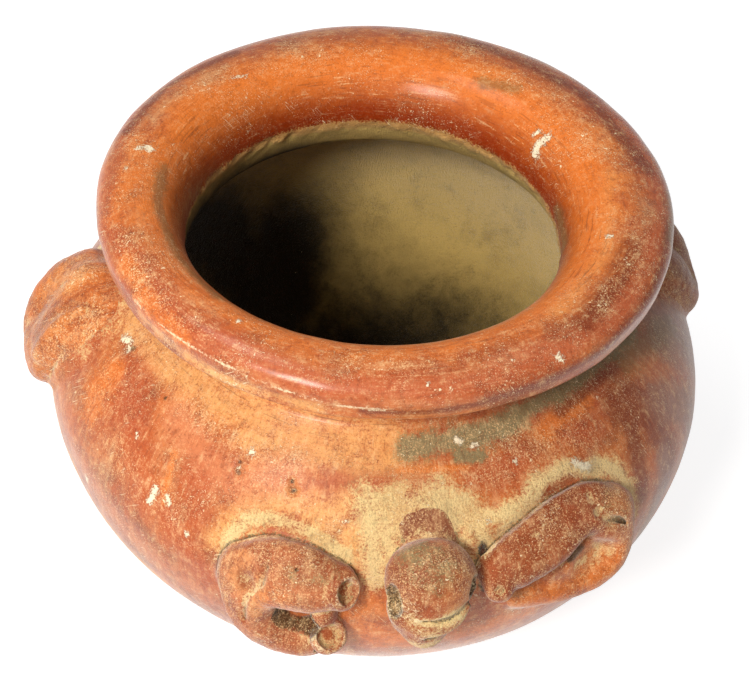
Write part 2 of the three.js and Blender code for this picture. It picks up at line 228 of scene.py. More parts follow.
# A place off the jar's surface: run along the section, angle in radians from the head, and lift
def offSurface(run, angle, lift):
    radius, height, out, up = atRun(run)
    east, north = np.sin(angle), -np.cos(angle)
    x, y, z = radius * east, radius * north, height
    reach = np.clip((jar["lipRadius"] - radius) / (jar["lipRadius"] - jar["throatRadius"]), 0, 1)
    shift = reach * smoothStep(height, neckFoot - jar["mouthShiftRun"], neckFoot + jar["mouthShiftRun"])
    x = x + jar["mouthShift"][0] * shift
    y = y + jar["mouthShift"][1] * shift
    base = np.stack([x, y, z + 0 * x], -1)
    lift = lift + handWork(base, run, angle)
    return base + np.stack([out * east, out * north, up + 0 * x], -1) * lift[..., None]


def onWall(angle, height):
    run = runAtHeight(height, marks["wall"], marks["neck"])
    radius, z, _, _ = atRun(run)
    turn = math.radians(angle)
    return np.array([radius * math.sin(turn), -radius * math.cos(turn), float(z)])


def wallGap(points, angle, height):
    return np.linalg.norm(points - onWall(angle, height), axis=-1)


def lineDistance(points, line):
    if len(line) == 1:
        return np.linalg.norm(points - line[0], axis=-1)
    best = np.full(points.shape[:-1], 1e9)
    for start, end in zip(line[:-1], line[1:]):
        along = end - start
        share = np.clip((points - start) @ along / (along @ along), 0, 1)
        best = np.minimum(best, np.linalg.norm(points - start - share[..., None] * along, axis=-1))
    return best


# What hands and tools left on the clay: broad lumps, a sag below the left thigh, small pits, the
# fold under the lip and the crust where the slip stops in the throat
handMarks = {
    "lumps": [(0.34, 36, 1), (0.12, 12, 2)],  # how high, how far apart and which draw
    "fine": (0.035, 3.6, 3),  # twice as high inside
    "lipLumps": (0.12, 7.5, 4),
    "sag": (-93, 47, 24, 1.6),  # angle, height, width and depth, mm
    "pits": [  # angle, height, width and depth, mm
        (-23.7, 85.7, 1.3, 0.8),
        (-24.2, 87, 0.9, 0.5),
        (-34.6, 85.6, 1.1, 0.6),
        (-34.9, 87.2, 0.8, 0.4),
        (-71.7, 89.5, 1, 0.5),
    ],
    "crust": (0.55, 2.2, 2.2),  # height, how far behind the throat, and width
    "crustGrain": [(1, 3.2, 5), (0.6, 1.6, 6)],
    "foldFrom": (-72, -58),  # angles
    "foldTo": (-20, -6),
    "foldBefore": 4.6,  # mm before the lip begins
    "foldWaver": (0.6, 14, 7),
    "fold": (0.5, 1.1),  # height and width, mm
    "foldCrease": (0.45, 0.8, 1.8),  # depth, width and how far below the fold
}


def layer(points, high, size, draw):
    return high * lumps(points, size, draw)


def handWork(base, run, angle):
    inside = smoothStep(run, marks["throat"], marks["throat"] + 4)
    work = sum(layer(base, *lump) for lump in handMarks["lumps"])
    work += layer(base, *handMarks["fine"]) * (1 + inside)
    beforeThroat = 1 - smoothStep(run, marks["mouth"], marks["throat"])
    onLip = smoothStep(run, marks["collarSeam"], marks["lip"])
    work += layer(base, *handMarks["lipLumps"]) * onLip * beforeThroat
    high, behind, width = handMarks["crust"]
    grain = 0.35 + sum(layer(base, *lump) for lump in handMarks["crustGrain"])
    work += high * hill(run - marks["throat"] - behind, width) * grain
    outside = 1 - smoothStep(run, marks["neck"] - 4, marks["neck"])
    sagAngle, sagHeight, sagWidth, sagDepth = handMarks["sag"]
    work += sagDepth * hill(wallGap(base, sagAngle, sagHeight), sagWidth) * outside
    for pitAngle, pitHeight, width, depth in handMarks["pits"]:
        reach = wallGap(base, pitAngle, pitHeight) / width
        work -= depth * np.exp(-(reach**4)) * outside
    fold = run - (marks["lip"] - handMarks["foldBefore"] + layer(base, *handMarks["foldWaver"]))
    turned = np.degrees(angle)
    foldRun = smoothStep(turned, *handMarks["foldFrom"]) * (1 - smoothStep(turned, *handMarks["foldTo"]))
    high, width = handMarks["fold"]
    depth, creaseWidth, below = handMarks["foldCrease"]
    work += foldRun * (high * hill(fold, width) - depth * hill(fold + below, creaseWidth))
    return work * smoothStep(base[..., 2], 0.5, 8)


# Soft solids as distance fields. Across, up and off are mm on the unrolled wall of one limb.
def merge(first, second, soft):
    share = np.clip(0.5 + 0.5 * (second - first) / soft, 0, 1)
    return second * (1 - share) + first * share - soft * share * (1 - share)


def carve(body, cutter, soft):
    return -merge(-body, cutter, soft)


def ball(place, centre, size):
    size = np.array(size, float)
    offset = place - np.array(centre, float)
    share = np.linalg.norm(offset / size, axis=-1)
    slope = np.linalg.norm(offset / size**2, axis=-1)
    return share * (share - 1) / np.maximum(slope, 1e-6)


def pellet(place, centre, axis, radius, half):
    axis = np.array(axis, float) / np.linalg.norm(axis)
    offset = place - np.array(centre, float)
    along = offset @ axis
    across = np.linalg.norm(offset - along[..., None] * axis, axis=-1)
    return np.hypot(np.maximum(across - radius + half, 0), along) - half


# The hollow pressed into the flat face of a pellet
def pressed(place, paw, wide, deep):
    centre, axis, _, half = paw
    axis = np.array(axis, float) / np.linalg.norm(axis)
    return pellet(place, np.array(centre) + axis * (half + 2 - deep), axis, wide, 2)


# A coil of clay through places that also give its half width, squeezed flat towards the wall
def coil(place, path, flat=1, steps=5):
    path = np.array(path, float)
    ends = np.concatenate([2 * path[:1] - path[1:2], path, 2 * path[-1:] - path[-2:-1]])
    line = []
    for i in range(len(path) - 1):
        a, b, c, d = ends[i : i + 4]
        for share in np.linspace(0, 1, steps, endpoint=False):
            bend = 2 * b + (c - a) * share + (2 * a - 5 * b + 4 * c - d) * share**2
            line.append((bend + (3 * b - a - 3 * c + d) * share**3) / 2)
    line = np.array([*line, path[-1]])
    squeeze = np.array([1, 1, 1 / flat])
    place = place * squeeze
    centres = line[:, :3] * squeeze
    best = np.full(place.shape[:-1], 1e9)
    for start, end, fromWidth, toWidth in zip(centres[:-1], centres[1:], line[:-1, 3], line[1:, 3]):
        along = end - start
        share = np.clip((place - start) @ along / (along @ along), 0, 1)
        gap = np.linalg.norm(place - start - share[..., None] * along, axis=-1)
        best = np.minimum(best, gap - fromWidth - (toWidth - fromWidth) * share)
    return best * (0.5 + 0.5 * flat)


# Smooths a body down to a plane through a place; lean tips the plane across and up the wall
def shave(body, place, at, lean, soft):
    normal = np.array([*lean, 1.0])
    return carve(body, -((place - np.array(at, float)) @ normal / np.linalg.norm(normal)), soft)


def balls(limb, place, names):
    return [ball(place, *limb[name]) for name in names.split()]


# A group of limbs sits at an angle round the jar and at a height, mm; low and high bound its own
# grid. A coil goes through places (across, up, off, half width) and a ball has a centre and a size.
# Dirt is how much earth lies along the group's upper side, and crease how much painted shade, with some dirt,
# darkens its outline on the wall, most along the upper side.
# Soft lists where the clay melts wider into the wall: across, up, how far round and how wide. Spots
# and notes tint the clay near a form: how far it fades, mm, and how strong it is.
leftFront = {
    "dirt": 0.35,
    "creaseShadeAndDirt": 0.85,
    "angle": -21.5,
    "height": 62,
    "low": (-26, -28, -4.5),
    "high": (24, 24, 13),
    "arm": [(-9.5, 4.0, 1.4, 8.2), (-3, 7.6, 2.4, 8.2), (4.5, 7.5, 2.8, 7.7), (11, 6.8, 2.8, 5.9)],
    "forearm": [(-10, 0, 1.4, 7.4), (-8.5, -7.5, 1.8, 6.6), (-2.5, -13.6, 2.2, 6), (4, -14.2, 2.2, 5.4),
                (8.6, -11.6, 2, 4.8)],
    "paw": ((13.4, 6.8, 4.6), (0.62, 0.42, 0.66), 4.2, 2.0),
    "lowerPaw": ((10.6, -8.0, 4.2), (0.45, 0.62, 0.64), 4.7, 2.2),
    "cup": (2.8, 2.1),  # how wide and how deep it is pressed
    "lowerCup": (3.4, 2.2),
    "facets": [((-4.5, 8, 7.4), (-0.34, 0.1), 0.9), ((2, 9, 7.9), (0.1, 0.2), 1.1)],
    "bend": [(-4.6, 10.5, 7.4, 0.8), (-5.4, 6.6, 7.3, 0.9), (-8.6, 1.8, 7, 0.9), (-9, -5, 6.8, 0.7)],
    "bridge": ((9.2, -2.8, 2), (3.2, 4, 3.4)),
    "hole": ((8.7, -13.2, 6.0), (1.1, 1.1, 1.6)),
    "slot": ((3.2, -5.2, 3.4), (5.4, 3.5, 5.4)),
    "notch": ((-10.2, 5.6, 7.6), (3.1, 2.6, 2.4)),
    "pit": ((2.5, 11.6, 7.1), (0.36, 0.36, 1.2)),
    "well": ((3.3, -6, -0.6), (4.8, 3, 3.8)),
    "elbow": ((-11, 7, 6), (3, 5, 3)),
    "ridge": ((-5.4, 3, 7.5), (1.6, 6, 2)),
    "spots": {
        "bright": ((-1, 2.5, 8), (4.6, 3, 3), 3, 0.5),
        "cloud": ((6.5, 11.5, 7), (6, 2, 4), 3, 0.35),
        "pink": ((-5, 2, 6), (15, 15, 8), 4, 0.6),
    },
    "soft": [(-16, 0, 8, 5), (-12, -12, 7, 4), (0, -20, 8, 4), (-8, 16, 6, 2.6)],
}


def leftFrontShapes(limb, place):
    arm = coil(place, limb["arm"], 0.78)
    forearm = coil(place, limb["forearm"], 0.84)
    paw = pellet(place, *limb["paw"])
    lowerPaw = pellet(place, *limb["lowerPaw"])
    hole, slot, notch, pit = balls(limb, place, "hole slot notch pit")
    bridge, elbow, ridge = balls(limb, place, "bridge elbow ridge")
    shapes = {
        "front_left_arm": arm,
        "front_left_forearm": forearm,
        "front_left_paw": paw,
        "front_left_lower_paw": np.minimum(lowerPaw, bridge),
    }
    body = merge(arm, forearm, 1.6)
    for facet in limb["facets"]:
        body = shave(body, place, *facet)
    for form in (bridge, paw, lowerPaw):
        body = merge(body, form, 1.4)
    cup = pressed(place, limb["paw"], *limb["cup"])
    lowerCup = pressed(place, limb["lowerPaw"], *limb["lowerCup"])
    bend = coil(place, limb["bend"])
    cuts = [(cup, 0.4), (lowerCup, 0.4), (hole, 0.3), (slot, 0.6), (notch, 1.2), (pit, 0.3), (bend, 1.3)]
    # Painted shade in the slot under the arm: pit darkens its upper part and groove the rest, and pit also
    # darkens the hole and the small pit
    slotTop = np.maximum(slot - 0.7, limb["slot"][0][1] - place[..., 1])
    notes = {
        "glow": (np.minimum(cup, lowerCup), 0.6, 0.12),
        "pit": (np.minimum(np.minimum(hole, pit + 0.3), slotTop), 0.7, 0.9),
        "groove": (slot - 0.5, 0.9, 0.9),
        "deep": (notch, 1.4, 1),
        "tan": (np.minimum(elbow, ridge), 2.2, 0.62),
    }
    return shapes, body, cuts, notes


rightFront = {
    "dirt": 0.45,
    "creaseShadeAndDirt": 0.85,
    "angle": 23,
    "height": 68,
    "low": (-31, -27, -4.5),
    "high": (29, 25, 13),
    "arm": [(-17.6, 1.7, 1.6, 5.1), (-12, 4.0, 2.6, 6.6), (-4.5, 6.8, 2.9, 6.9), (3, 9.2, 2.8, 6.4),
            (9.6, 8.6, 2.4, 6.3), (14.4, 5, 1.8, 6.4)],
    "forearm": [(15.8, 3.6, 1.6, 6.2), (16.8, -3.4, 1.8, 5.4), (14.2, -10, 2, 5.2), (7.2, -12.8, 1.4, 4.6),
                (-2, -12.2, 0.2, 4), (-11, -10.4, -1.2, 3.4)],
    "paw": ((-18.8, -0.6, 4.6), (-0.1, 0.45, 0.9), 3.3, 1.9),
    "cup": ((-19.4, -0.2, 6.9), (-0.1, 0.45, 0.9), 1.4, 0.8),
    "facet": ((-5, 3.2, 7.3), (-0.04, 0.3), 1.4),
    "wrap": [(8.6, 13, 5.4, 0.8), (9.0, 9.6, 7.0, 1.4), (11, 6.4, 7.1, 1.3), (14.6, 4, 6.4, 0.8),
             (18, 0.6, 5.4, 0.6)],
    "ramp": [(-21, 11.2, -1.6, 2.4), (-12, 15, -1.3, 2.6), (-4, 18.2, -1.3, 2.6), (5, 19.8, -1.5, 2.4),
             (13, 18, -1.8, 2)],
    "fill": ((6, -4, 0.2), (11, 6, 2.8)),
    "pit": ((9.2, 8.6, 7.2), (1.6, 1.5, 1.8)),
    "hollow": ((7.6, -4.2, 5.6), (6.6, 4.6, 4.6)),
    "spots": {
        "cloud": ((15, 8, 6), (4.4, 4.8, 4), 3, 0.3),
        # painted shade under the arm's edge at the top of the hollow
        "groove": ((3.4, -0.6, 3.6), (2.6, 1.4, 2.6), 2, 1),
        "chalk": ((11.5, -5, 4.2), (0.9, 0.8, 1), 0.5, 1),
    },
    "soft": [(0, -14, 12, 5), (14, -15, 8, 4), (-21, 4, 5, 2.4), (-8, -11, 8, 5)],
}


def rightFrontShapes(limb, place):
    arm = coil(place, limb["arm"], 0.8)
    forearm = coil(place, limb["forearm"], 0.86)
    paw = pellet(place, *limb["paw"])
    fill, pit, hollow = balls(limb, place, "fill pit hollow")
    shapes = {
        "front_right_arm": arm,
        "front_right_forearm": np.minimum(forearm, fill),
        "front_right_paw": paw,
    }
    limbs = shave(merge(arm, forearm, 3.4), place, *limb["facet"])
    body = merge(merge(limbs, fill, 2.4), paw, 1.6)
    cup = pellet(place, *limb["cup"])
    wrap = coil(place, limb["wrap"])
    cuts = [(cup, 0.5), (wrap, 0.9), (pit, 0.8), (hollow, 2.4)]
    notes = {
        "deep": (np.minimum(np.minimum(pit, wrap - 0.3), arm - 1), 1.6, 0.55),
        "bright": (np.minimum(hollow - 1, forearm - 1), 2.4, 0.74),
    }
    return shapes, body, cuts, notes


head = {
    "dirt": 0.9,
    "creaseShadeAndDirt": 0.6,
    "creaseTop": 9,
    "angle": 0.4,
    "height": 72,
    "low": (-17, -20, -4.5),
    "high": (18, 24, 18),
    "crown": ((-0.3, 0.3, 5.4), (10.6, 8.8, 9.3)),
    "muzzle": ((-2.0, -5.8, 6.4), (8.4, 6.9, 7.2)),
    "chin": ((-2.1, -10.3, 8.9), (4.2, 3.4, 3.6)),
    "neck": [(-2.6, 11.3, -6.4, 9), (0.8, 10.9, -6.2, 9), (0.8, 6.4, -5.4, 9)],
    "lip": [(-7.6, -5.6, 8.8, 1.1), (-5.6, -6.4, 10.6, 1.3), (-2.2, -7.1, 12, 1.6), (1.2, -7.1, 12.2, 1.6),
            (4.6, -6, 11.2, 1.3), (7.0, -4.4, 9.4, 1)],
    "groove": [(-8, -4.0, 9.2, 0.6), (-6.4, -4.4, 11, 0.7), (-3, -4.8, 12.9, 0.8), (1.2, -5, 13.4, 0.8),
               (5.4, -4.2, 12.3, 0.7), (8, -2.9, 10, 0.6)],
    "mouth": [(-4.2, -8.2, 12.2, 0.4), (-1.5, -8.8, 13.2, 0.5), (2, -8.7, 13.2, 0.5), (5, -7.4, 11.8, 0.4)],
    "socket": ((-9.0, -2.4, 9.7), (2.7, 3.2, 2.9)),
    # A second socket, carved and painted dark, stands in for the shadow on the right of the head
    "otherSocket": ((8.8, -1.8, 9.2), (2.4, 3, 2.6)),
    "packed": ((-2, -12.4, 9), (5, 3, 5)),
    "spots": {
        "tan": ((5, -1.5, 12), (3.4, 4, 4), 4, 0.5),
        "cloud": ((-3, 6, 11), (6, 3.4, 5), 5, 0.5),
        "deep": ((-1, 0, 9), (11, 9, 9), 2, 0.28),
    },
    "soft": [(0, 13, 7, 4.5), (-11, -3, 4, 1.6), (-4, -14, 8, 3)],
}


def headShapes(limb, place):
    crown, muzzle, chin, packed = balls(limb, place, "crown muzzle chin packed")
    socket, otherSocket = balls(limb, place, "socket otherSocket")
    muzzle = merge(muzzle, chin, 1.8)
    neck = coil(place, limb["neck"], 0.8)
    lip, groove, mouth = (coil(place, limb[name]) for name in ("lip", "groove", "mouth"))
    shapes = {"effigy_head": crown, "effigy_muzzle": muzzle, "effigy_neck": neck, "effigy_lip": lip}
    body = merge(merge(merge(crown, muzzle, 2.2), lip, 1.4), neck, 2.4)
    cuts = [(groove + 0.5, 1.2), (mouth + 0.1, 0.7), (socket, 0.4), (otherSocket, 0.6)]
    sockets = np.minimum(socket, otherSocket)
    notes = {
        "socket": (sockets, 1, 1),
        # painted shade, with dirt, in the sockets and along the mouth line
        "groove": (np.minimum(mouth + 0.2, sockets), 1, 1),
        "earth": (np.minimum(np.minimum(groove + 0.2, lip + 0.4), packed), 1.6, 0.75),
    }
    return shapes, body, cuts, notes


leftHind = {
    "side": "hind_left",
    "dirt": 0.3,
    "creaseShadeAndDirt": 0.3,
    "angle": -94,
    "height": 76,
    "low": (-25, -29, -4.5),
    "high": (27, 28, 14),
    "thigh": [(10.3, 13.4, 0.2, 6.4), (8.4, 3, 2.2, 8.4), (6.6, -7.6, 1.8, 7.4)],
    "shin": [(-8.6, 10, 1.6, 5), (-7, 1, 3, 6.6), (-3.8, -8.2, 3.2, 6.2), (5, -14.6, 1, 5)],
    "melt": 6,
    "dome": ((0.6, 10, 0.8), (9.5, 9.5, 6.6)),
    "fold": [(1.5, 8, 10, 1), (2.4, 3, 10.2, 1.3), (1.6, -3, 10.4, 1.3), (-0.6, -8, 9.8, 1)],
    "foldSoft": 2.6,
    "foldShade": 0,
    "ridges": [
        [(13.4, 16, 0.6, 1.1), (14.4, 8, 1.4, 1.2), (14.6, 0, 1.3, 1.2), (13, -10, 0.8, 1)],
        [(17.2, 15, -0.2, 1.1), (18, 7, 0.3, 1.2), (17.6, -2, 0.2, 1.2), (15, -13, -0.2, 1)],
        [(12, 12, 5.6, 1), (12.2, 3, 7.1, 1.1), (11, -7, 5.8, 1)],
    ],
    "rubbed": ((-1, 9, 8), (7, 10, 4)),
    "spots": {"bright": ((2, 0, 4), (20, 24, 14), 3, 0.65)},
    "soft": [(16, 8, 14, 6), (0, -16, 12, 4), (-12, 0, 12, 4), (4, 20, 12, 6)],
}
rightHind = {
    "side": "hind_right",
    "dirt": 0.2,
    "creaseShadeAndDirt": 0.4,
    "angle": 97,
    "height": 82,
    "low": (-25, -26, -4.5),
    "high": (23, 28, 14),
    "thigh": [(-10.3, 17, 0.2, 6.4), (-10.1, 6, 2.2, 8.2), (-9.5, -6, 1.4, 7.2)],
    "shin": [(9.9, 20, 1.6, 4.8), (7.4, 10, 3.4, 6.4), (3, -3, 3, 6.4), (-7.6, -11.6, 0.2, 4.6)],
    "melt": 5,
    "dome": ((0, 14, 0.8), (9.5, 9, 6)),
    "fold": [(-1, 13, 9.8, 1), (-2.4, 6, 10.2, 1.3), (-4, -2, 9.6, 1.2), (-8, -7, 7.4, 0.9)],
    "foldSoft": 2.4,
    "foldShade": 0.5,
    "ridges": [[(-15.6, 14, 0.4, 1.1), (-17, 5, 1, 1.2), (-16.4, -5, 0.8, 1.1), (-12, -14, 0.2, 1)]],
    "spots": {"purple": ((-6, 4, 8), (10, 14, 8), 3, 0.6)},
    "soft": [(-16, 4, 12, 4.5), (0, -14, 12, 4), (12, 4, 12, 4), (0, 22, 9, 4)],
}


def hindShapes(limb, place):
    thigh = coil(place, limb["thigh"], 0.68)
    shin = coil(place, limb["shin"], 1.0)
    dome = ball(place, *limb["dome"])
    shapes = {limb["side"] + "_thigh": thigh, limb["side"] + "_shin": np.minimum(shin, dome)}
    fold = coil(place, limb["fold"])
    ridge = np.minimum.reduce([coil(place, path) for path in limb["ridges"]])
    body = merge(merge(merge(thigh, shin, limb["melt"]), dome, 5), ridge, 1.8)
    notes = {"groove": (fold, 1.6, limb["foldShade"])}
    if "rubbed" in limb:
        notes["tan"] = (np.minimum(ridge, ball(place, *limb["rubbed"]) + 1), 2.2, 0.55)
    return shapes, body, [(fold, limb["foldSoft"])], notes


groups = [
    {"shapesOf": leftFrontShapes, **leftFront},
    {"shapesOf": rightFrontShapes, **rightFront},
    {"shapesOf": headShapes, **head},
    {"shapesOf": hindShapes, **leftHind},
    {"shapesOf": hindShapes, **rightHind},
]
seat = {
    "step": 0.38,  # mm between the places of a group's grid
    "soft": 1.3,
    "sink": 0.35,
    "overlap": 1.4,
    "rough": (0.3, 6.5),  # how high and how far apart
    "grain": (0.12, 2.4),
    "levels": (-3.6, 7, 30),  # where the wall may lie under the limbs
    # how wide the painted shade along the limbs' outlines is, mm
    "creaseWidth": 1.3,
    "dirtWidth": 4.5,
}


# Everything about one group of limbs at places on its unrolled wall
def sculpt(limb, place):
    shapes, body, cuts, notes = limb["shapesOf"](limb, place)
    shift = limb["angle"] * 0.37
    rough = layer(place, *seat["rough"], shift) + layer(place, *seat["grain"], shift + 3)
    for cutter, soft in cuts:
        body = carve(body, cutter, soft)
    body = body + rough
    if "socket" in notes:
        body = body - 0.5 * np.maximum(0, lumps(place, 1.5, 5) + 0.15) * hill(notes["socket"][0], 1)
    ground = place[..., 2]
    if "well" in limb:
        ground = carve(ground, ball(place, *limb["well"]), 0.8)
    if "ramp" in limb:
        ground = merge(ground, coil(place, limb["ramp"]) + 0.4 * rough, 4)
    soft = seat["soft"] + 0 * ground
    for across, up, reach, wide in limb["soft"]:
        gap = ((place[..., 0] - across) ** 2 + (place[..., 1] - up) ** 2) / reach**2
        soft = np.maximum(soft, seat["soft"] + (wide - seat["soft"]) * np.exp(-gap))
    return {
        "shapes": {name: shape + rough for name, shape in shapes.items()},
        "ground": ground,
        "all": merge(ground, body, soft),
        "notes": notes,
    }


# How sharply the clay bends at a place, 1/mm: ridges above 0, creases below
def bending(limb, place):
    reach = 0.8
    total = -6 * sculpt(limb, place)["all"]
    for axis in np.eye(3):
        for side in (-reach, reach):
            total += sculpt(limb, place + side * axis)["all"]
    return total / reach**2


# One piece's own field: it dips under its neighbours where it passes below them
def ownField(found, name):
    forms = {**found["shapes"], "ground": found["ground"]}
    inside = forms.pop(name) - np.minimum.reduce(list(forms.values()))
    return np.maximum(found["all"] + seat["sink"] * np.maximum(inside, 0), inside - seat["overlap"]), inside


def groupRun(limb):
    return runAtHeight(limb["height"], marks["wall"], marks["neck"])


def toJar(limb, place):
    run = groupRun(limb) + place[..., 1]
    radius = atRun(run)[0]
    angle = math.radians(limb["angle"]) + place[..., 0] / radius
    return offSurface(run, angle, place[..., 2]), run, angle


# Mesh of quads round the zero of a field on a grid
def netFrom(values, low, step):
    inside = values < 0
    size = np.array(values.shape) - 1
    count = np.zeros(size, int)
    for corner in np.ndindex(2, 2, 2):
        count += inside[tuple(slice(c, c + n) for c, n in zip(corner, size))]
    cells = np.argwhere((count > 0) & (count < 8))
    index = np.full(size, -1)
    index[tuple(cells.T)] = np.arange(len(cells))
    total, hits = np.zeros((len(cells), 3)), np.zeros(len(cells))
    for axis in range(3):
        unit = np.eye(3, dtype=int)[axis]
        for corner in np.ndindex(2, 2):
            start = cells + np.insert(corner, axis, 0)
            first, second = values[tuple(start.T)], values[tuple((start + unit).T)]
            cross = (first < 0) != (second < 0)
            share = first[cross] / (first[cross] - second[cross])
            total[cross] += start[cross] + share[:, None] * unit
            hits[cross] += 1
    quads = []
    for axis in range(3):
        unit = np.eye(3, dtype=int)[axis]
        side, other = np.eye(3, dtype=int)[(axis + 1) % 3], np.eye(3, dtype=int)[(axis + 2) % 3]
        inner = tuple(slice(0 if i == axis else 1, size[i]) for i in range(3))
        ahead = tuple(slice(1, size[i] + 1) if i == axis else slice(1, size[i]) for i in range(3))
        edges = np.argwhere(inside[inner] != inside[ahead]) + (1 - unit)
        backs = (0 * unit, side, side + other, other)
        ring = np.stack([index[tuple((edges - back).T)] for back in backs], -1)
        flip = inside[tuple(edges.T)]
        ring[~flip] = ring[~flip][:, ::-1]
        quads.append(ring)
    return np.array(low) + step * total / hits[:, None], np.concatenate(quads)


def settle(place, fieldOf):
    eps = 0.05
    for _ in range(2):
        value = fieldOf(place)
        slope = np.stack([fieldOf(place + eps * axis) - value for axis in np.eye(3)], -1) / eps
        move = -value[:, None] * slope / np.maximum((slope**2).sum(1), 0.2)[:, None]
        length = np.linalg.norm(move, axis=1)[:, None]
        place = place + move * np.minimum(1, 0.3 * seat["step"] / np.maximum(length, 1e-9))
    return place


def meshPiece(name, points, quads, normals, masks, slot):
    mesh = bpy.data.meshes.new(name)
    mesh.from_pydata((points * metre).tolist(), [], quads)
    mesh.polygons.foreach_set("use_smooth", [True] * len(mesh.polygons))
    for mask, values in masks.items():
        layer = mesh.attributes.new(mask, "FLOAT", "POINT")
        layer.data.foreach_set("value", np.ascontiguousarray(values, np.float32))
    if normals is not None:
        mesh.normals_split_custom_set_from_vertices(normals.tolist())
    mesh.validate()
    piece = bpy.data.objects.new(name + "_clay", mesh)
    bpy.context.scene.collection.objects.link(piece)
    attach(piece, "root")
    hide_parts(name)
    mesh.materials.append(finishes[slot])


# Painted masks. Each stroke is a line of places, (angle, run), and how far it reaches, mm.
wallPaint = {
    "tan": [
        ([(-78, 165), (-60, 167), (-45, 168), (-30, 169), (-16, 169), (-6, 170)], 8),
        ([(-34, 164), (-24, 166), (-12, 165), (-2, 160)], 8),
        ([(-12, 160), (-15, 152), (-18, 147)], 6),
        ([(-14, 138), (-12, 146), (-13, 130)], 5),
        ([(-35, 136), (-31, 148), (-24, 151), (-16, 149)], 6),
        ([(-85, 160), (-84.5, 148), (-84, 138)], 3),
        ([(-104, 150), (-92, 156), (-88, 148)], 8),
        ([(-92, 130), (-84, 118), (-74, 112), (-64, 106), (-50, 100)], 9),
        ([(150, 140), (170, 152), (-170, 136)], 12),
    ],
    "pink": [
        ([(-50, 158), (-40, 152), (-32, 150), (-26, 158)], 9),
        ([(-78, 130), (-66, 124), (-52, 118), (-38, 112)], 9),
    ],
    "bright": [
        ([(-70, 154), (-71, 146), (-69, 140)], 6),
        ([(-47.5, 150), (-46.4, 144), (-45.6, 138)], 2),
        ([(28, 163), (34, 165), (40, 164)], 5),
        ([(-4, 162), (4, 161.6), (9, 161)], 1.6),
        ([(-10, 128), (-12, 118), (-6, 112), (6, 110), (18, 112)], 7),
        ([(27, 128), (29, 128)], 6),
    ],
    "deep": [
        ([(46, 158), (46, 150), (44, 142), (43, 132)], 5),
        ([(50, 157), (56, 150)], 5),
        ([(46, 157), (51, 147), (53, 136), (50, 126)], 9),
        ([(33, 166), (44, 166), (52, 164)], 3),
    ],
    "earth": [
        ([(-10, 154), (-4, 153.5), (2, 153), (7, 152)], 6.5),
        ([(-6, 151), (-6, 143)], 6),
        ([(-9, 150), (-8.4, 142), (-8, 134)], 5),
        ([(6, 150), (9, 146), (10.4, 140), (10.2, 134)], 4),
        ([(9, 149), (13, 148), (17, 149.5), (22, 152.5), (28, 152.8)], 3.4),
        ([(13, 144), (17, 147), (21, 150.5)], 3),
        ([(28, 152), (33, 149.5), (36.5, 147), (39, 142), (40, 135), (40, 128)], 3.6),
        ([(-32, 131), (-32.4, 138), (-30.6, 144), (-27, 146), (-22, 146), (-17, 144), (-13, 140)], 3.4),
        ([(-108, 149), (-102, 155), (-98, 157)], 4),
    ],
    "cloud": [
        ([(-2, 167.6), (4, 168), (11, 168), (18, 168.4), (24, 169.4)], 5),
        ([(8, 164), (12, 163)], 3),
        ([(26, 170), (40, 170), (54, 168), (66, 164)], 4),
        ([(-150, 118), (-135, 132), (-122, 112)], 20),
    ],
    "stain": [([(8, 147), (9.4, 141), (9.6, 135)], 2), ([(56, 164), (66, 158), (76, 150)], 7)],
    "rusty": [
        ([(-66, 156), (-60, 150), (-54, 144), (-50, 136)], 11),
        ([(-42, 147), (-39, 140)], 8),
        ([(-46, 138), (-41, 130), (-36, 124)], 8),
        ([(-80, 150), (-78, 142)], 7),
        ([(14, 156), (20, 159), (10, 158)], 6),
        ([(36, 158), (32, 160)], 6),
        ([(-6, 157), (-16, 158), (2, 159)], 4),
    ],
    "purple": [
        ([(56, 148), (62, 138), (66, 124), (60, 108)], 10),
        ([(50, 136), (49, 124), (46, 110)], 6),
        ([(74, 154), (80, 138), (82, 120), (76, 98)], 17),
        ([(100, 150), (104, 132), (102, 104)], 18),
    ],
    "groove": [
        # painted shadow in the gap between the head and the right arm
        ([(9.4, 142), (9.6, 136), (9.2, 130)], 1.8),
        ([(-71.4, 160.8), (-70.6, 161.6)], 1.2),
        ([(-55.8, 160)], 0.9),
    ],
    "pit": [
        # painted shade in the left arm's slot
        ([(-22.6, 121.8), (-19.6, 120.8), (-17, 120.8)], 4.4),
        # painted shadow in the gap between the head and the right arm
        ([(9.6, 141), (10, 135), (9.8, 129)], 2.2),
    ],
    "chalk": [
        ([(-74.4, 160.6), (-72.6, 161.6), (-71.6, 159.6)], 1.9),
        ([(-33.4, 159.8)], 1.5),
        ([(-34.8, 155.2)], 0.9),
        ([(-66, 120), (-65.4, 122)], 1.1),
        ([(-48, 140), (-48.4, 136)], 1.2),
        ([(-45.4, 140), (-44.6, 138.6)], 1.2),
        ([(-40, 133.4)], 0.9),
        ([(-13.6, 149)], 0.7),
        ([(8.4, 168.4), (9, 167.4)], 1),
        ([(11, 165.6), (12.4, 166)], 0.9),
        ([(19, 159.4)], 1.1),
        ([(30, 153), (31.4, 151.4), (32.4, 150.4)], 1.5),
        ([(43, 162.6)], 0.7),
        ([(11, 147.4)], 0.7),
        ([(-56, 147), (-56.8, 148.4)], 0.6),
    ],
    "dust": [
        ([(-70, 150), (-60, 142), (-48, 138), (-42, 132)], 9),
        ([(-84, 164), (-70, 166), (-54, 167)], 6),
        ([(-50, 165), (-36, 163), (-24, 160)], 8),
        ([(0, 158), (14, 158), (26, 158), (34, 154)], 7),
        ([(-2, 168), (10, 168), (22, 167)], 5),
        ([(-30, 152), (-20, 150), (-10, 146), (-10, 134)], 6),
        ([(-100, 150), (-88, 150), (-88, 134)], 9),
    ],
    "lines": [
        ([(-80, 170), (-60, 173), (-40, 174), (-20, 174), (0, 174)], 3.6),
        ([(-60, 170), (-40, 171), (-20, 170)], 3),
    ],
}
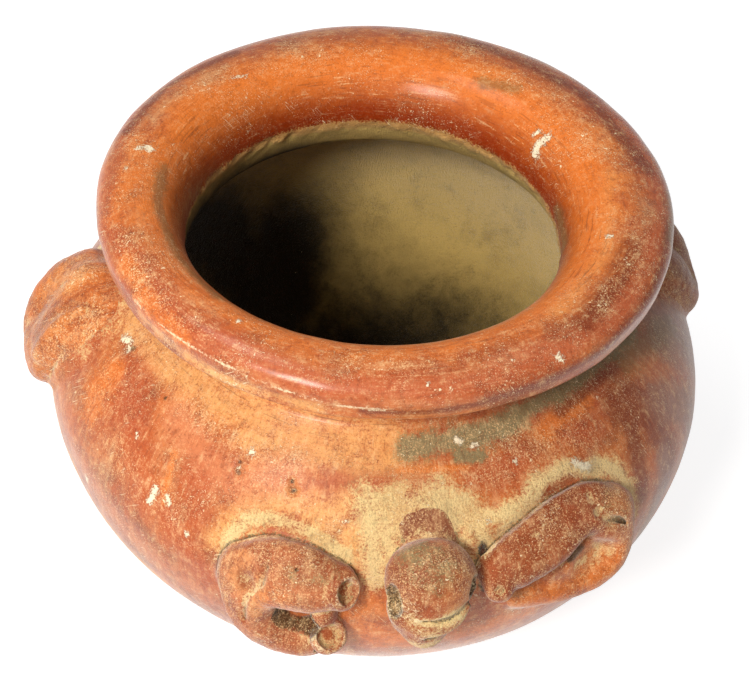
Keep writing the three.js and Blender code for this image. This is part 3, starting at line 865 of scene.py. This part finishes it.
rimPaint = {
    "tan": [
        ([(36, 221), (60, 222), (90, 222)], 3.6),
        ([(-60, 203), (-40, 201.5), (-20, 202)], 2.6),
    ],
    "bright": [
        ([(-110, 216), (-96, 217), (-84, 213)], 5),
        ([(-62, 206), (-48, 206), (-70, 210)], 4),
    ],
    "pink": [
        ([(-44, 209), (-20, 208), (0, 208), (14, 209)], 4),
        ([(-100, 208), (-84, 208)], 4),
        ([(14, 213), (30, 210), (50, 210)], 4),
    ],
    "rusty": [
        ([(-120, 208), (-80, 209), (-50, 209), (-20, 208), (10, 208), (40, 209), (75, 209), (110, 208)], 6),
    ],
    "deep": [
        ([(10, 203.6), (24, 204), (38, 205), (54, 206.4), (74, 208)], 2.6),
        ([(-12, 202.4), (4, 202.6), (10, 203)], 1.6),
        ([(36, 213), (52, 216), (64, 217)], 5),
        ([(-70, 231), (-88, 233), (-104, 236), (-128, 238), (-150, 239)], 6),
        ([(100, 240), (130, 240.6), (160, 240), (180, 238)], 2.4),
        ([(-150, 213), (-130, 211), (-112, 211)], 3),
        ([(150, 213), (120, 213), (90, 212)], 4),
    ],
    "stain": [
        ([(-50, 225), (-70, 226), (-90, 226), (-104, 227)], 3),
        ([(76, 239), (92, 240)], 4),
        ([(132, 224), (142, 226)], 3),
        ([(70, 206), (84, 206)], 4),
    ],
    "chalk": [
        ([(-107.4, 221.4), (-107.8, 219.4), (-106.6, 217.6)], 1.3),
        ([(-149, 223.6), (-146.6, 223), (-144.4, 222.6)], 0.9),
        ([(66, 221.6), (66.2, 222.6)], 0.9),
        ([(26, 209.4), (26.4, 208.6)], 1.2),
        ([(113.6, 229.6), (114.4, 232.4), (114, 235)], 2),
        ([(117.4, 230), (118, 231.4)], 1),
        ([(0, 210.2)], 0.6),
        ([(17.4, 212.6)], 0.5),
        ([(-40, 219.6)], 0.7),
        ([(-99, 216)], 0.9),
    ],
    "dust": [
        ([(-14, 217), (-8, 215), (-2, 217), (4, 215), (8, 217)], 4),
        ([(-4, 212), (-6, 210)], 2.4),
        ([(-44, 212), (-60, 213), (-76, 214), (-60, 209)], 5),
        ([(-110, 216), (-96, 214)], 5),
        ([(64, 222), (76, 222), (64, 215), (42, 214)], 4),
        ([(-170, 222), (-150, 220), (-130, 218)], 6),
        ([(150, 218), (110, 219), (96, 222)], 6),
        ([(-56, 202.4), (-36, 201.6), (-16, 201.4)], 3),
    ],
    # a pale line along the lip's outer edge: wear, and a painted highlight
    "edge": [([(-62, 205.6), (-50, 206), (-38, 205.9), (-26, 204.8), (-15, 203.6), (-8, 203.2)], 0.6)],
    "lines": [([(-179, 231), (-120, 230), (-60, 226), (0, 216), (60, 226), (120, 232), (179, 231)], 12)],
}
insidePaint = {
    # Painted shadow cast by the rim on the inside wall: at the left, at the back and towards the bottom
    "soot": [
        ([(-166, 330), (-160, 350), (-150, 320), (-130, 300), (-110, 330)], 30),
        ([(-160, 262), (-140, 262), (-120, 262), (-95, 262)], 18),
        ([(-170, 374), (180, 384), (160, 386), (130, 388)], 24),
        ([(-170, 396), (170, 400), (140, 404)], 26),
    ],
}


def onSkin(angle, run):
    return offSurface(np.array([[float(run)]]), np.array([[math.radians(angle)]]), np.zeros((1, 1)))[0, 0]


def paint(points, strokes):
    mask = np.zeros(points.shape[:-1])
    for line, reach in strokes:
        gap = lineDistance(points, np.array([onSkin(*place) for place in line]))
        mask = np.maximum(mask, np.exp(-2 * (gap / reach) ** 2))
    return mask


# groove and pit carry painted shade as well as dirt and pits, edge carries wear and a painted highlight, and
# the inside shadow mask carries painted shadow
maskNames = """tan pink rusty bright deep earth cloud stain purple groove chalk dust lines edge
    soot pit glow inner crust run""".split()


# Where each painting begins and ends along the section, and the tints that go all round, mm
zones = {
    "wallPast": 6,  # beyond the foot of the neck
    "rimFrom": 196,
    "rimPast": 4,  # beyond the throat
    "insideBefore": 2,
    "glowBefore": 6,
    "bareFrom": 1.2,  # behind the throat
    "bareFull": 2.4,
    "crustBehind": 1.6,
    "crustWidth": 1.9,
    "crustSide": 165,  # the angle where it is thickest
    # The painted shadow inside deepens towards the bottom, most round one side
    "paintedShadowFrom": 312,
    "paintedShadowFull": 368,
    "paintedShadowWaver": (10, 24, 8),
    "paintedShadowSide": -140,
}


def layOn(masks, name, values):
    masks[name] = np.maximum(masks[name], values)


def jarMasks(base, run, angle):
    masks = {name: np.zeros(run.shape) for name in maskNames}
    throat = marks["throat"]
    painted = [
        (wallPaint, run < marks["neck"] + zones["wallPast"]),
        (rimPaint, (run > zones["rimFrom"]) & (run < throat + zones["rimPast"])),
        (insidePaint, run > throat - zones["insideBefore"]),
    ]
    for painting, within in painted:
        for name, strokes in painting.items():
            if within.any():
                masks[name][within] = np.maximum(masks[name][within], paint(base[within], strokes))
    outside = run < marks["neck"]
    for pitAngle, pitHeight, width, _ in handMarks["pits"]:
        layOn(masks, "pit", 0.8 * hill(wallGap(base, pitAngle, pitHeight), 1.1 * width) * outside)
    glowFrom = marks["mouth"] - zones["glowBefore"]
    masks["glow"] = np.clip((run - glowFrom) / (throat - glowFrom), 0, 1)
    masks["inner"] = smoothStep(run, throat + zones["bareFrom"], throat + zones["bareFull"])
    around = 0.55 + 0.45 * np.cos(angle - math.radians(zones["crustSide"]))
    masks["crust"] = hill(run - throat - zones["crustBehind"], zones["crustWidth"]) * (0.35 + 0.65 * around)
    # Painted shadow inside the jar, deeper towards the bottom and round one side
    shaded = 0.6 + 0.4 * np.cos(angle - math.radians(zones["paintedShadowSide"]))
    depth = run + layer(base, *zones["paintedShadowWaver"])
    layOn(masks, "soot", shaded * smoothStep(depth, zones["paintedShadowFrom"], zones["paintedShadowFull"]))
    masks["run"] = run
    return masks


# One height of the wall under every place of a group: raised to a fillet by a limb, sunk below it
def wallLift(run, angle):
    lift = np.zeros(run.shape)
    creases = np.zeros(run.shape)
    packed = np.zeros(run.shape)
    for limb in groups:
        up = run - groupRun(limb)
        turn = (angle - math.radians(limb["angle"]) + math.pi) % (2 * math.pi) - math.pi
        across = turn * atRun(run)[0]
        near = (across > limb["low"][0]) & (across < limb["high"][0])
        near &= (up > limb["low"][1]) & (up < limb["high"][1]) & (run < marks["lip"])
        if not near.any():
            continue
        levels = np.linspace(*seat["levels"])
        place = np.stack([across[near], up[near], 0 * up[near]], -1)
        previous, found = None, np.full(len(place), np.nan)
        for level in levels:
            field, inside = groundField(limb, place, level)
            if previous is not None:
                cross = np.isnan(found) & (field >= 0) & (previous < 0)
                share = previous[cross] / (previous[cross] - field[cross])
                found[cross] = level - (levels[1] - levels[0]) * (1 - share)
            else:
                found[field >= 0] = level
            previous = field
        found[np.isnan(found)] = levels[-1]
        _, inside = groundField(limb, place, found)
        old = lift[near]
        lift[near] = np.where((old < -0.3) | (found < -0.3), np.minimum(old, found), np.maximum(old, found))
        inside = np.minimum(inside, 0)
        # painted shade, with some dirt, along the limb's outline on the wall, strongest along its upper side
        creaseShadeAndDirt = limb["creaseShadeAndDirt"] * hill(inside, seat["creaseWidth"] / math.sqrt(2))
        creaseShadeAndDirt = creaseShadeAndDirt * (0.3 + 0.7 * smoothStep(up[near], -4, 4)) * (up[near] < limb.get("creaseTop", 99))
        creases[near] = np.maximum(creases[near], creaseShadeAndDirt)
        dirt = limb["dirt"] * hill(inside, seat["dirtWidth"]) * smoothStep(up[near], -4, 6)
        packed[near] = np.maximum(packed[near], dirt)
    return lift, creases, packed


def groundField(limb, place, level):
    place = place.copy()
    place[:, 2] = level
    return ownField(sculpt(limb, place), "ground")


# Angles round the jar, closest together where the head and arms are
def turnAngles():
    density = [(0, 2.8), (46, 2.8), (60, 1.9), (112, 1.9), (130, 1.6), (180, 1.2)]  # places to a degree
    fine = np.linspace(-180, 180, 7201)
    weight = np.interp(abs(fine), *zip(*density))
    total = np.concatenate([[0], np.cumsum((weight[1:] + weight[:-1]) / 2 * np.diff(fine))])
    count = int(round(total[-1]))
    return np.radians(np.interp(np.arange(count) * total[-1] / count, total, fine))


turns = turnAngles()


def spread(fromRun, toRun, step):
    return np.linspace(fromRun, toRun, max(2, int(round((toRun - fromRun) / step)) + 1))


def jarPiece(name, strips, slot, poles=False):
    rows, normals = [], []
    for strip in strips:
        before, after = 2 * strip[0] - strip[1], 2 * strip[-1] - strip[-2]
        run = np.clip(np.array([before, *strip, after]), 0, marks["end"])
        run, angle = np.meshgrid(run, turns, indexing="ij")
        lift, creases, packed = wallLift(run, angle)
        points = offSurface(run, angle, lift)
        along = points[2:] - points[:-2]
        across = np.roll(points, -1, 1) - np.roll(points, 1, 1)
        normal = np.cross(across[1:-1], along)
        normals.append(normal / np.maximum(np.linalg.norm(normal, axis=-1), 1e-9)[..., None])
        rows.append([part[1:-1] for part in (points, run, angle, creases, packed)])
    points, run, angle, creases, packed = (np.concatenate([row[i] for row in rows]) for i in range(5))
    normals = np.concatenate(normals).reshape(-1, 3)
    base = offSurface(run, angle, 0 * run)
    masks = jarMasks(base, run, angle)
    # the groove mask takes the painted shade and dirt along the limbs' outlines
    layOn(masks, "groove", creases)
    layOn(masks, "earth", packed)
    rowCount, turnCount = run.shape
    index = np.arange(rowCount * turnCount).reshape(rowCount, turnCount)
    following = np.roll(index, -1, 1)
    last = rowCount if not poles else rowCount - 1
    above = np.roll(index, -1, 0)[:last], np.roll(following, -1, 0)[:last]
    quads = np.stack([index[:last], following[:last], above[1], above[0]], -1).reshape(-1, 4)
    points = points.reshape(-1, 3)
    masks = {mask: values.reshape(-1) for mask, values in masks.items()}
    faces = quads.tolist()
    if poles:
        ends = np.array([[0, 0, 0], [0, 0, jar["padThickness"]]], float)
        bottom, top = len(points), len(points) + 1
        points = np.concatenate([points, ends])
        normals = np.concatenate([normals, [[0, 0, -1], [0, 0, 1]]])
        masks = {mask: np.append(values, [values[0], values[-1]]) for mask, values in masks.items()}
        faces += [[int(b), int(a), bottom] for a, b in zip(index[0], following[0])]
        faces += [[int(a), int(b), top] for a, b in zip(index[-1], following[-1])]
    print(name, len(faces), "faces")
    meshPiece(name, points, faces, normals, masks, slot)


# Shader maths: an expression on wires adds its own nodes
class Wire:
    def __init__(self, graph, socket):
        self.graph = graph
        self.socket = socket

    def math(self, operation, first, second):
        return self.graph.node("Math", {0: first, 1: second}, operation=operation)

    def __add__(self, other):
        return self.math("ADD", self, other)

    __radd__ = __add__

    def __sub__(self, other):
        return self.math("SUBTRACT", self, other)

    def __rsub__(self, other):
        return self.math("SUBTRACT", other, self)

    def __mul__(self, other):
        return self.math("MULTIPLY", self, other)

    __rmul__ = __mul__


# The nodes of a material or of the world
class Graph:
    def __init__(self, owner):
        owner.use_nodes = True
        self.tree = owner.node_tree
        self.tree.nodes.clear()

    def node(self, kind, inputs, output=0, **settings):
        made = self.tree.nodes.new("ShaderNode" + kind)
        for setting, value in settings.items():
            setattr(made, setting, value)
        for key, value in inputs.items():
            if isinstance(value, Wire):
                self.tree.links.new(value.socket, made.inputs[key])
            else:
                made.inputs[key].default_value = value
        return None if output is None else Wire(self, made.outputs[output])

    def mix(self, first, second, share):
        return self.node("Mix", {0: share, 6: first, 7: second}, 2, data_type="RGBA")

    def noise(self, place, size, detail=3, rough=0.55, twist=0):
        inputs = {"Vector": place, "Scale": 1 / size, "Detail": detail}
        return self.node("TexNoise", {**inputs, "Roughness": rough, "Distortion": twist})

    def step(self, value, low, high):
        inputs = {"Value": value, "From Min": low, "From Max": high}
        return self.node("MapRange", inputs, interpolation_type="SMOOTHSTEP")

    def mask(self, name):
        return self.node("Attribute", {}, "Fac", attribute_name=name)

    def moved(self, place, by):
        return self.node("VectorMath", {0: place, 1: by}, operation="ADD")

    def scaled(self, place, scale):
        return self.node("VectorMath", {0: place, "Scale": scale}, operation="SCALE")

    def upward(self, height):
        return self.node("CombineXYZ", {"Z": height})

    # Fine lines that lie one way, where a thin tall noise passes a level
    def scratches(self, place, turn, shift, length, width, low):
        inputs = {"Vector": place, "Location": shift, "Rotation": turn, "Scale": (width, width, length)}
        lines = self.noise(self.node("Mapping", inputs, vector_type="TEXTURE"), 1, 1, 0.5)
        return self.step(lines, low, low + 0.05)


def grey(level):
    return (level, level, level, 1)


def colour(code):
    channels = [int(code[i : i + 2], 16) / 255 for i in (0, 2, 4)]
    linear = [c / 12.92 if c <= 0.04045 else ((c + 0.055) / 1.055) ** 2.4 for c in channels]
    return (*linear, 1)


slipLook = {
    "red": "aa5028",
    "orange": "cc7232",
    "dark": "66270e",
    "pale": "f2c890",
    "tan": "ecb06a",
    "pink": "cb7a50",
    "rusty": "ae4a22",
    "bright": "dc7628",
    "deep": "7a2e0c",
    "earth": "f8dc9c",
    "earthWarm": "dca566",
    "earthShade": "a08650",
    "cloud": "837a56",
    "stain": "7c6238",
    "purple": "966450",
    "cream": "f8e6bc",
    "chalk": "f6e8c8",
    # dark olive for painted shade, with dirt, in creases, slots and gaps
    "groove": "40321a",
    # near black for pits, and for painted shade in the slot and painted shadow beside the head
    "pit": "241812",
    "blaze": "e27624",
    "throat": "8a2600",
    "inner": "cfae64",
    "innerDark": "8a7440",
    # near black, for the painted shadow inside the jar
    "soot": "14100a",
    "crust": "c79a5c",
    "gloss": 0.42,
    "ior": 1.25,
    "coat": 0.6,
    "coatRough": 0.36,
    "coatIor": 1.22,
    "sheen": 0.45,
    "streaks": 0.16,  # how far the burnishing runs are drawn out: small is long
    "ring": False,  # burnished round the jar instead of up and down it
    "specks": 0.0,
    "shade": 0.0,  # how much darker clay lies in patches
    "rubbed": 0.0,  # how much bare and dusty clay shows through everywhere
}

# Noises in the slip: where each is moved to, its size in mm, detail, roughness and twist
noises = {
    "broad": ((0, 0, 0), 26, 3, 0.5, 0.4),
    "mottle": ((0, 0, 0), 7, 8, 0.72, 0.4),
    "patch": ((41, 7, 13), 14, 7, 0.7, 0.3),
    "grit": ((0, 0, 0), 0.62, 3, 0.8),
    "sand": ((5, 31, 9), 0.42, 2, 0.7),
    "fleck": ((3, 19, 5), 1.05, 3, 0.7),
    "fine": ((17, 3, 23), 2.4, 6, 0.78),
}

# Each wash in the order it lies: mask, how grainy and how patchy its edge is, where it sets in, how thick
washes = [
    ("tan", 2.0, 2.4, 0.1, 1.1, 0.7),
    ("pink", 1.8, 2.2, 0.1, 1.1, 0.65),
    ("rusty", 1.8, 2.4, 0.1, 1.1, 0.7),
    ("bright", 1.6, 2.0, 0.1, 1.1, 0.65),
    ("deep", 1.4, 1.8, 0.1, 0.95, 0.85),
    ("purple", 0.8, 1.6, 0.1, 0.9, 0.85),
    ("stain", 1.8, 1.8, 0.15, 1.0, 0.6),
    ("cloud", 1.6, 1.6, 0.15, 0.8, 0.92),
    ("earth", 2.4, 2.7, 0.15, 0.95, 0.88),
    # painted shade, with dirt, in creases, slots and gaps
    ("groove", 2.2, 0.8, 0.25, 0.8, 0.85),
    ("inner", 0.6, 0.4, 0.3, 0.7, 1.0),
    # painted shadow inside the jar
    ("soot", 0.2, 0.6, 0.0, 0.9, 0.97),
    ("crust", 2.4, 1.2, 0.3, 0.7, 0.9),
    # pits, and the painted shade and shadow laid with the pit strokes
    ("pit", 0.8, 0.2, 0.35, 0.7, 0.92),
    # worn ridges, and on the lip's edge also a painted highlight
    ("edge", 2.4, 1.4, 0.3, 0.9, 0.7),
    ("chalk", 3.2, 2.4, 0.4, 0.75, 0.95),
]


def clayFinish(name, look):
    look = {**slipLook, **look}
    tint = {key: colour(value) for key, value in look.items() if isinstance(value, str)}
    # the edge mask is cream: worn ridges, and on the lip also a painted highlight
    tint["edge"] = tint["cream"]
    material = bpy.data.materials.new(name)
    f = Graph(material)
    place = f.scaled(f.node("TexCoord", {}, "Object"), 1 / metre)
    flat = f.node("VectorMath", {0: place, 1: (1, 1, 0)}, operation="MULTIPLY")
    outward = f.node("VectorMath", {0: flat}, operation="NORMALIZE")
    around = f.scaled(outward, jar["bellyRadius"])
    turnScale, runScale = (look["streaks"], 1) if look["ring"] else (1, look["streaks"])
    streakPlace = f.moved(f.scaled(around, turnScale), f.upward(f.mask("run") * runScale))
    ringPlace = f.moved(f.scaled(around, 0.05), f.upward(f.mask("run")))
    grains = [f.noise(f.moved(place, shift), *kind) for shift, *kind in noises.values()]
    broad, mottle, patch, grit, sand, fleck, fine = grains
    streak = f.noise(streakPlace, 0.9, 4, 0.65, 0.2)
    longStreak = f.noise(f.moved(streakPlace, (9, 5, 3)), 4.2, 4, 0.65, 0.3)
    ringStreak = f.noise(ringPlace, 0.9, 3, 0.65)

    def layered(wet, coats):
        for name, share in coats:
            wet = f.mix(wet, tint[name], share)
        return wet

    slip = [
        ("orange", f.step(mottle + broad * 0.7, 0.66, 1.1)),
        ("dark", f.step(patch + streak * 0.35 + look["shade"], 0.6, 0.9) * 0.6),
        ("pale", f.step(longStreak + grit * 0.6, 0.76, 1.06) * 0.3),
    ]
    glow = f.mask("glow") + (streak - 0.5) * 0.25 + (mottle - 0.5) * 0.3 * f.step(f.mask("glow"), 0, 0.1)
    blaze = [("blaze", f.step(glow, 0.02, 0.42) * 0.85), ("throat", f.step(glow, 0.45, 0.95) * 0.95)]
    # second tones inside a wash
    tanWorn = sand + (ringStreak - 0.5) * 0.6 + (patch - 0.5) * 0.6
    tones = {
        "tan": [("orange", f.step(tanWorn, 0.46, 0.64) * 0.7)],
        "purple": [("dark", f.step(longStreak + (streak - 0.5) * 0.5, 0.48, 0.72) * 0.55)],
        "cloud": [("stain", f.step(sand, 0.46, 0.62) * 0.7)],
        "earth": [
            ("earthWarm", f.step(patch + (sand - 0.5) * 0.6, 0.46, 0.66) * 0.7),
            ("earthShade", f.step(sand * 0.5 + fine * 0.5, 0.52, 0.64) * 0.55),
        ],
        "inner": [("innerDark", f.step(patch + (grit - 0.5) * 0.5, 0.46, 0.74) * 0.6)],
    }
    skin = layered(tint["red"], slip)
    shares = {}
    for wash, grainy, patchy, low, high, thick in washes:
        if wash == "stain":
            skin = layered(skin, blaze)
        spread = f.mask(wash) + (grit - 0.5) * grainy + (mottle - 0.5) * patchy
        # a wash that isn't painted anywhere near stays off whatever its grain says
        shares[wash] = f.step(spread, low, high) * f.step(f.mask(wash), 0.0, 0.12) * thick
        skin = f.mix(skin, layered(tint[wash], tones.get(wash, [])), shares[wash])

    # loose grain everywhere: pale and dark by turns, thicker where the clay is rubbed bare
    bare = f.mask("dust") + look["rubbed"] - f.mask("inner")
    worked = 1 - f.mask("inner") * 0.7 - f.mask("glow") * 0.7
    paleGrain = f.step(sand + (patch - 0.5) * 0.4 + bare * 0.04, 0.56, 0.7) * f.step(bare, -0.9, 1.0)
    paleGrain = paleGrain * worked * 0.6
    flecks = fleck + bare * 0.05 + (patch - 0.5) * 0.3 + (mottle - 0.5) * 0.3 + look["specks"]
    flecks = f.step(flecks, 0.7, 0.75)
    scratch = f.scratches(place, (0.5, 0.7, 0), (3, 5, 7), 11, 0.3, 0.675)
    scratch = scratch + f.scratches(place, (-0.3, -0.6, 0.4), (13, 2, 27), 8, 0.28, 0.685)
    scratch = scratch * f.step(patch, 0.42, 0.6) * (1 - f.mask("inner"))
    skin = layered(skin, [
        ("pale", f.step(fine + (streak - 0.5) * 0.55 + bare * 0.02, 0.5, 0.74) * worked * 0.42),
        ("dark", f.step(fine + (streak - 0.5) * 0.5, 0.49, 0.3) * worked * 0.4),
        ("pale", paleGrain),
        ("dark", f.step(grit + (mottle - 0.5) * 0.3, 0.43, 0.3) * 0.45),
        ("cream", flecks * 0.85),
        ("cream", scratch * 0.75),
        ("pale", f.step(ringStreak + (grit - 0.5) * 0.4, 0.6, 0.7) * f.mask("lines") * 0.5),
        ("dark", f.step(ringStreak, 0.42, 0.34) * f.mask("lines") * 0.5),
    ])

    dull = f.node("Math", {0: shares["earth"], 1: f.mask("inner")}, operation="MAXIMUM")
    rough = look["gloss"] + (mottle - 0.5) * 0.25 + (grit - 0.5) * 0.3
    rough = rough + shares["tan"] * 0.14 + shares["cloud"] * 0.12
    rough = rough + dull * (0.92 - look["gloss"]) + paleGrain * 0.1
    height = (fine - 0.5) * 0.3 + (grit - 0.5) * 0.22 + (streak - 0.5) * 0.14
    height = height + (sand - 0.5) * 0.1 + (mottle - 0.5) * 0.3
    height = height + dull * (grit + sand - 1) * 0.5 - scratch * 0.06 + shares["chalk"] * 0.12 + flecks * 0.04
    bump = {"Strength": 1.0, "Distance": metre, "Height": height}
    sockets = {
        "Base Color": skin,
        "Roughness": rough,
        "IOR": look["ior"],
        "Normal": f.node("Bump", bump, "Normal"),
        "Sheen Weight": look["sheen"],
        "Sheen Roughness": 0.3,
    }
    if look["coat"]:
        sockets["Coat Weight"] = (1 - dull) * (1 - f.mask("glow") * 0.6) * look["coat"]
        sockets["Coat Roughness"] = look["coatRough"]
        sockets["Coat IOR"] = look["coatIor"]
    f.node("OutputMaterial", {"Surface": f.node("BsdfPrincipled", sockets)}, None)
    return material


rimLook = {
    "ring": True,
    "gloss": 0.4,
    "specks": 0.012,
    "sheen": 0.06,
    "coat": 0.7,
    "coatRough": 0.25,
    "coatIor": 1.34,
}
reliefLook = {"gloss": 0.48, "red": "9c4c2c", "orange": "b66436", "rubbed": 0.35, "shade": 0.08, "coat": 0.1}
neckLook = {"gloss": 0.62, "coat": 0, "red": "844a32", "orange": "92573a", "rubbed": 0.3}
footLook = {"gloss": 0.62, "coat": 0, "red": "b0683f", "orange": "bd7a4a", "rubbed": 0.3}
finishes = {
    "red_slip": clayFinish("burnished red slip", {}),
    "burnished_rim": clayFinish("burnished rim", rimLook),
    "relief_clay": clayFinish("rubbed relief clay", reliefLook),
    "earthy_clay": clayFinish("earthy clay", neckLook),
    "base_clay": clayFinish("worn foot clay", footLook),
}
print("finishes made")


# How far apart the rows of the jar's faces lie, mm, and the height where the bowl turns out of sight
rows = {
    "flat": 6,
    "pad": 1,
    "bowl": 1.1,
    "wall": 0.55,
    "lip": 0.6,
    "innerShoulder": 1.3,
    "innerBowl": 1.6,
    "innerPad": 1.5,
}
turnHeight = 38


def between(first, last, step):
    return spread(marks[first], marks[last], rows[step])


underPad = spread(12, marks["wall"] - 4, rows["flat"])
padSide = spread(marks["wall"] - 2, marks["padSeam"], rows["pad"])
middle = spread(marks["floor"] + 4, marks["end"] - 1.5, rows["flat"])
underside = np.concatenate([[1.5], underPad, padSide])
floorTop = np.concatenate([between("innerPad", "floor", "innerPad"), middle])
jarPiece("base_pad", [underside, floorTop], "base_clay", poles=True)
marks["turn"] = runAtHeight(turnHeight, marks["wall"], marks["neck"])
bowl = np.concatenate([between("padSeam", "turn", "bowl")[:-1], between("turn", "belly", "wall")])
jarPiece("lower_wall", [bowl, between("innerBelly", "innerPad", "innerBowl")], "red_slip")
shoulder = [between("belly", "neck", "wall"), between("inside", "innerBelly", "innerShoulder")]
jarPiece("shoulder_wall", shoulder, "red_slip")
collar = [between("neck", "collarSeam", "wall"), between("mouthSeam", "inside", "lip")]
jarPiece("neck_collar", collar, "burnished_rim")
jarPiece("rim_lip", [between("collarSeam", "mouthSeam", "lip")], "burnished_rim")
print("jar made")


# What ridges (1) and creases (-1) wear or gather, with painted shade laid as groove in the creases: how much,
# and between which bends, 1/mm
bendWear = [("edge", 1, 0.5, 0.5, 1.5), ("groove", -1, 0.6, 0.35, 1.3), ("earth", -1, 0.5, 0.05, 0.5)]


def limbMasks(limb, found, inside, place, run, slot):
    masks = {name: np.zeros(len(place)) for name in maskNames}
    masks["run"] = run
    spots = {name: (ball(place, *spot[:2]), *spot[2:]) for name, spot in limb["spots"].items()}
    for name, (field, reach, amount) in {**found["notes"], **spots}.items():
        if name in masks:
            masks[name] = (1 - smoothStep(field, -0.2 * reach, reach)) * amount
    bend = bending(limb, place)
    for name, way, amount, low, high in bendWear:
        layOn(masks, name, amount * smoothStep(way * bend, low, high))
    masks["dust"] = 0.35 + 0.6 * lumps(place, 9, limb["angle"])
    if slot == "earthy_clay":
        layOn(masks, "earth", 0.7 * smoothStep(inside, -0.5, 0.5))
    return masks


slots = {"effigy_neck": "earthy_clay"}
for limb in groups:
    axes = [np.arange(low, high, seat["step"]) for low, high in zip(limb["low"], limb["high"])]
    grid = np.stack(np.meshgrid(*axes, indexing="ij"), -1)
    found = sculpt(limb, grid)
    for name in found["shapes"]:
        field, _ = ownField(found, name)
        place, quads = netFrom(field, limb["low"], seat["step"])
        place = settle(place, lambda at: ownField(sculpt(limb, at), name)[0])
        here = sculpt(limb, place)
        _, inside = ownField(here, name)
        points, run, _ = toJar(limb, place)
        slot = slots.get(name, "relief_clay")
        masks = limbMasks(limb, here, inside, place, run, slot)
        print(name, len(quads), "faces")
        meshPiece(name, points, quads.tolist(), None, masks, slot)
print("limbs made")


# Camera, as the photograph was taken: mm and degrees
shot = {
    "elevation": 45,
    "turn": -10,
    "distance": 468,
    "aimHeight": 61.48,
    "roll": 3.55,
    "lens": 79.2,
    "sensor": 36,
    "shift": (-0.00304, 0.00082),
}


def addCamera():
    lift, roll = math.radians(shot["elevation"]), math.radians(shot["roll"])
    forward = Vector((0, math.cos(lift), -math.sin(lift)))
    upward = Vector((0, math.sin(lift), math.cos(lift)))
    right = Vector((1, 0, 0))
    sideways = math.cos(roll) * right + math.sin(roll) * upward
    upright = -math.sin(roll) * right + math.cos(roll) * upward
    turn = Matrix.Rotation(math.radians(shot["turn"]), 3, "Z")
    axes = Matrix([turn @ sideways, turn @ upright, turn @ -forward]).transposed()
    place = Vector((0, 0, shot["aimHeight"])) + turn @ (forward * -shot["distance"])
    data = bpy.data.cameras.new("shot")
    data.lens, data.sensor_width = shot["lens"], shot["sensor"]
    data.shift_x, data.shift_y = shot["shift"]
    camera = bpy.data.objects.new("shot", data)
    camera.matrix_world = Matrix.Translation(place * metre) @ axes.to_4x4()
    bpy.context.scene.collection.objects.link(camera)
    bpy.context.scene.camera = camera


# Lamps, placed by degrees round the jar and above the table, and aimed at its middle
lamps = {
    "key": {"turn": -38, "rise": 41, "distance": 0.95, "size": 0.26, "power": 8.9, "tint": (1, 0.97, 0.92)},
    "over": {"turn": -98, "rise": 66, "distance": 0.9, "size": 0.3, "power": 2.0, "tint": (1, 0.99, 0.96)},
}
room = {
    "fill": 0.34,
    "fillTint": (0.97, 0.98, 1, 1),
    "floorMatte": 0.82,
    "floorGlow": 0.8,
    "floorShade": 0.45,
    "floorHalf": 3.0,
}


def addLamp(name, lamp):
    turn, rise = math.radians(lamp["turn"]), math.radians(lamp["rise"])
    away = Vector((math.cos(rise) * math.sin(turn), -math.cos(rise) * math.cos(turn), math.sin(rise)))
    data = bpy.data.lights.new(name, "AREA")
    data.shape, data.size = "DISK", lamp["size"]
    data.energy, data.color = lamp["power"], lamp["tint"]
    obj = bpy.data.objects.new(name, data)
    obj.location = away * lamp["distance"] + Vector((0, 0, jar["bellyHeight"] * metre))
    obj.rotation_euler = away.to_track_quat("Z", "Y").to_euler()
    bpy.context.scene.collection.objects.link(obj)


# One shader where the camera looks, and in reflections if asked, and another for the light it gives
def plainWhenSeen(graph, seen, unseen, inReflections):
    looks = graph.node("LightPath", {}, "Is Camera Ray")
    if inReflections:
        looks = looks.math("MAXIMUM", looks, graph.node("LightPath", {}, "Is Glossy Ray"))
    return graph.node("MixShader", {0: looks, 1: unseen, 2: seen})


def addRoom():
    world = bpy.data.worlds.new("studio")
    bpy.context.scene.world = world
    sky = Graph(world)
    seen = sky.node("Background", {"Color": grey(1)})
    unseen = sky.node("Background", {"Color": room["fillTint"], "Strength": room["fill"]})
    sky.node("OutputWorld", {"Surface": plainWhenSeen(sky, seen, unseen, False)}, None)

    material = bpy.data.materials.new("pale floor")
    table = Graph(material)
    matte = table.node("BsdfDiffuse", {"Color": grey(room["floorMatte"])})
    bright = table.node("Emission", {"Color": grey(room["floorGlow"])})
    faint = table.node("BsdfDiffuse", {"Color": grey(room["floorShade"])})
    shaded = table.node("AddShader", {0: faint, 1: bright})
    table.node("OutputMaterial", {"Surface": plainWhenSeen(table, shaded, matte, True)}, None)
    half = room["floorHalf"]
    corners = [(-half, -half, 0), (half, -half, 0), (half, half, 0), (-half, half, 0)]
    mesh = bpy.data.meshes.new("floor")
    mesh.from_pydata(corners, [], [(0, 1, 2, 3)])
    mesh.materials.append(material)
    floor = bpy.data.objects.new("floor", mesh)
    bpy.context.scene.collection.objects.link(floor)


addCamera()
for name, lamp in lamps.items():
    addLamp(name, lamp)
addRoom()
bpy.context.scene.view_settings.view_transform = "Standard"
print("room lit")
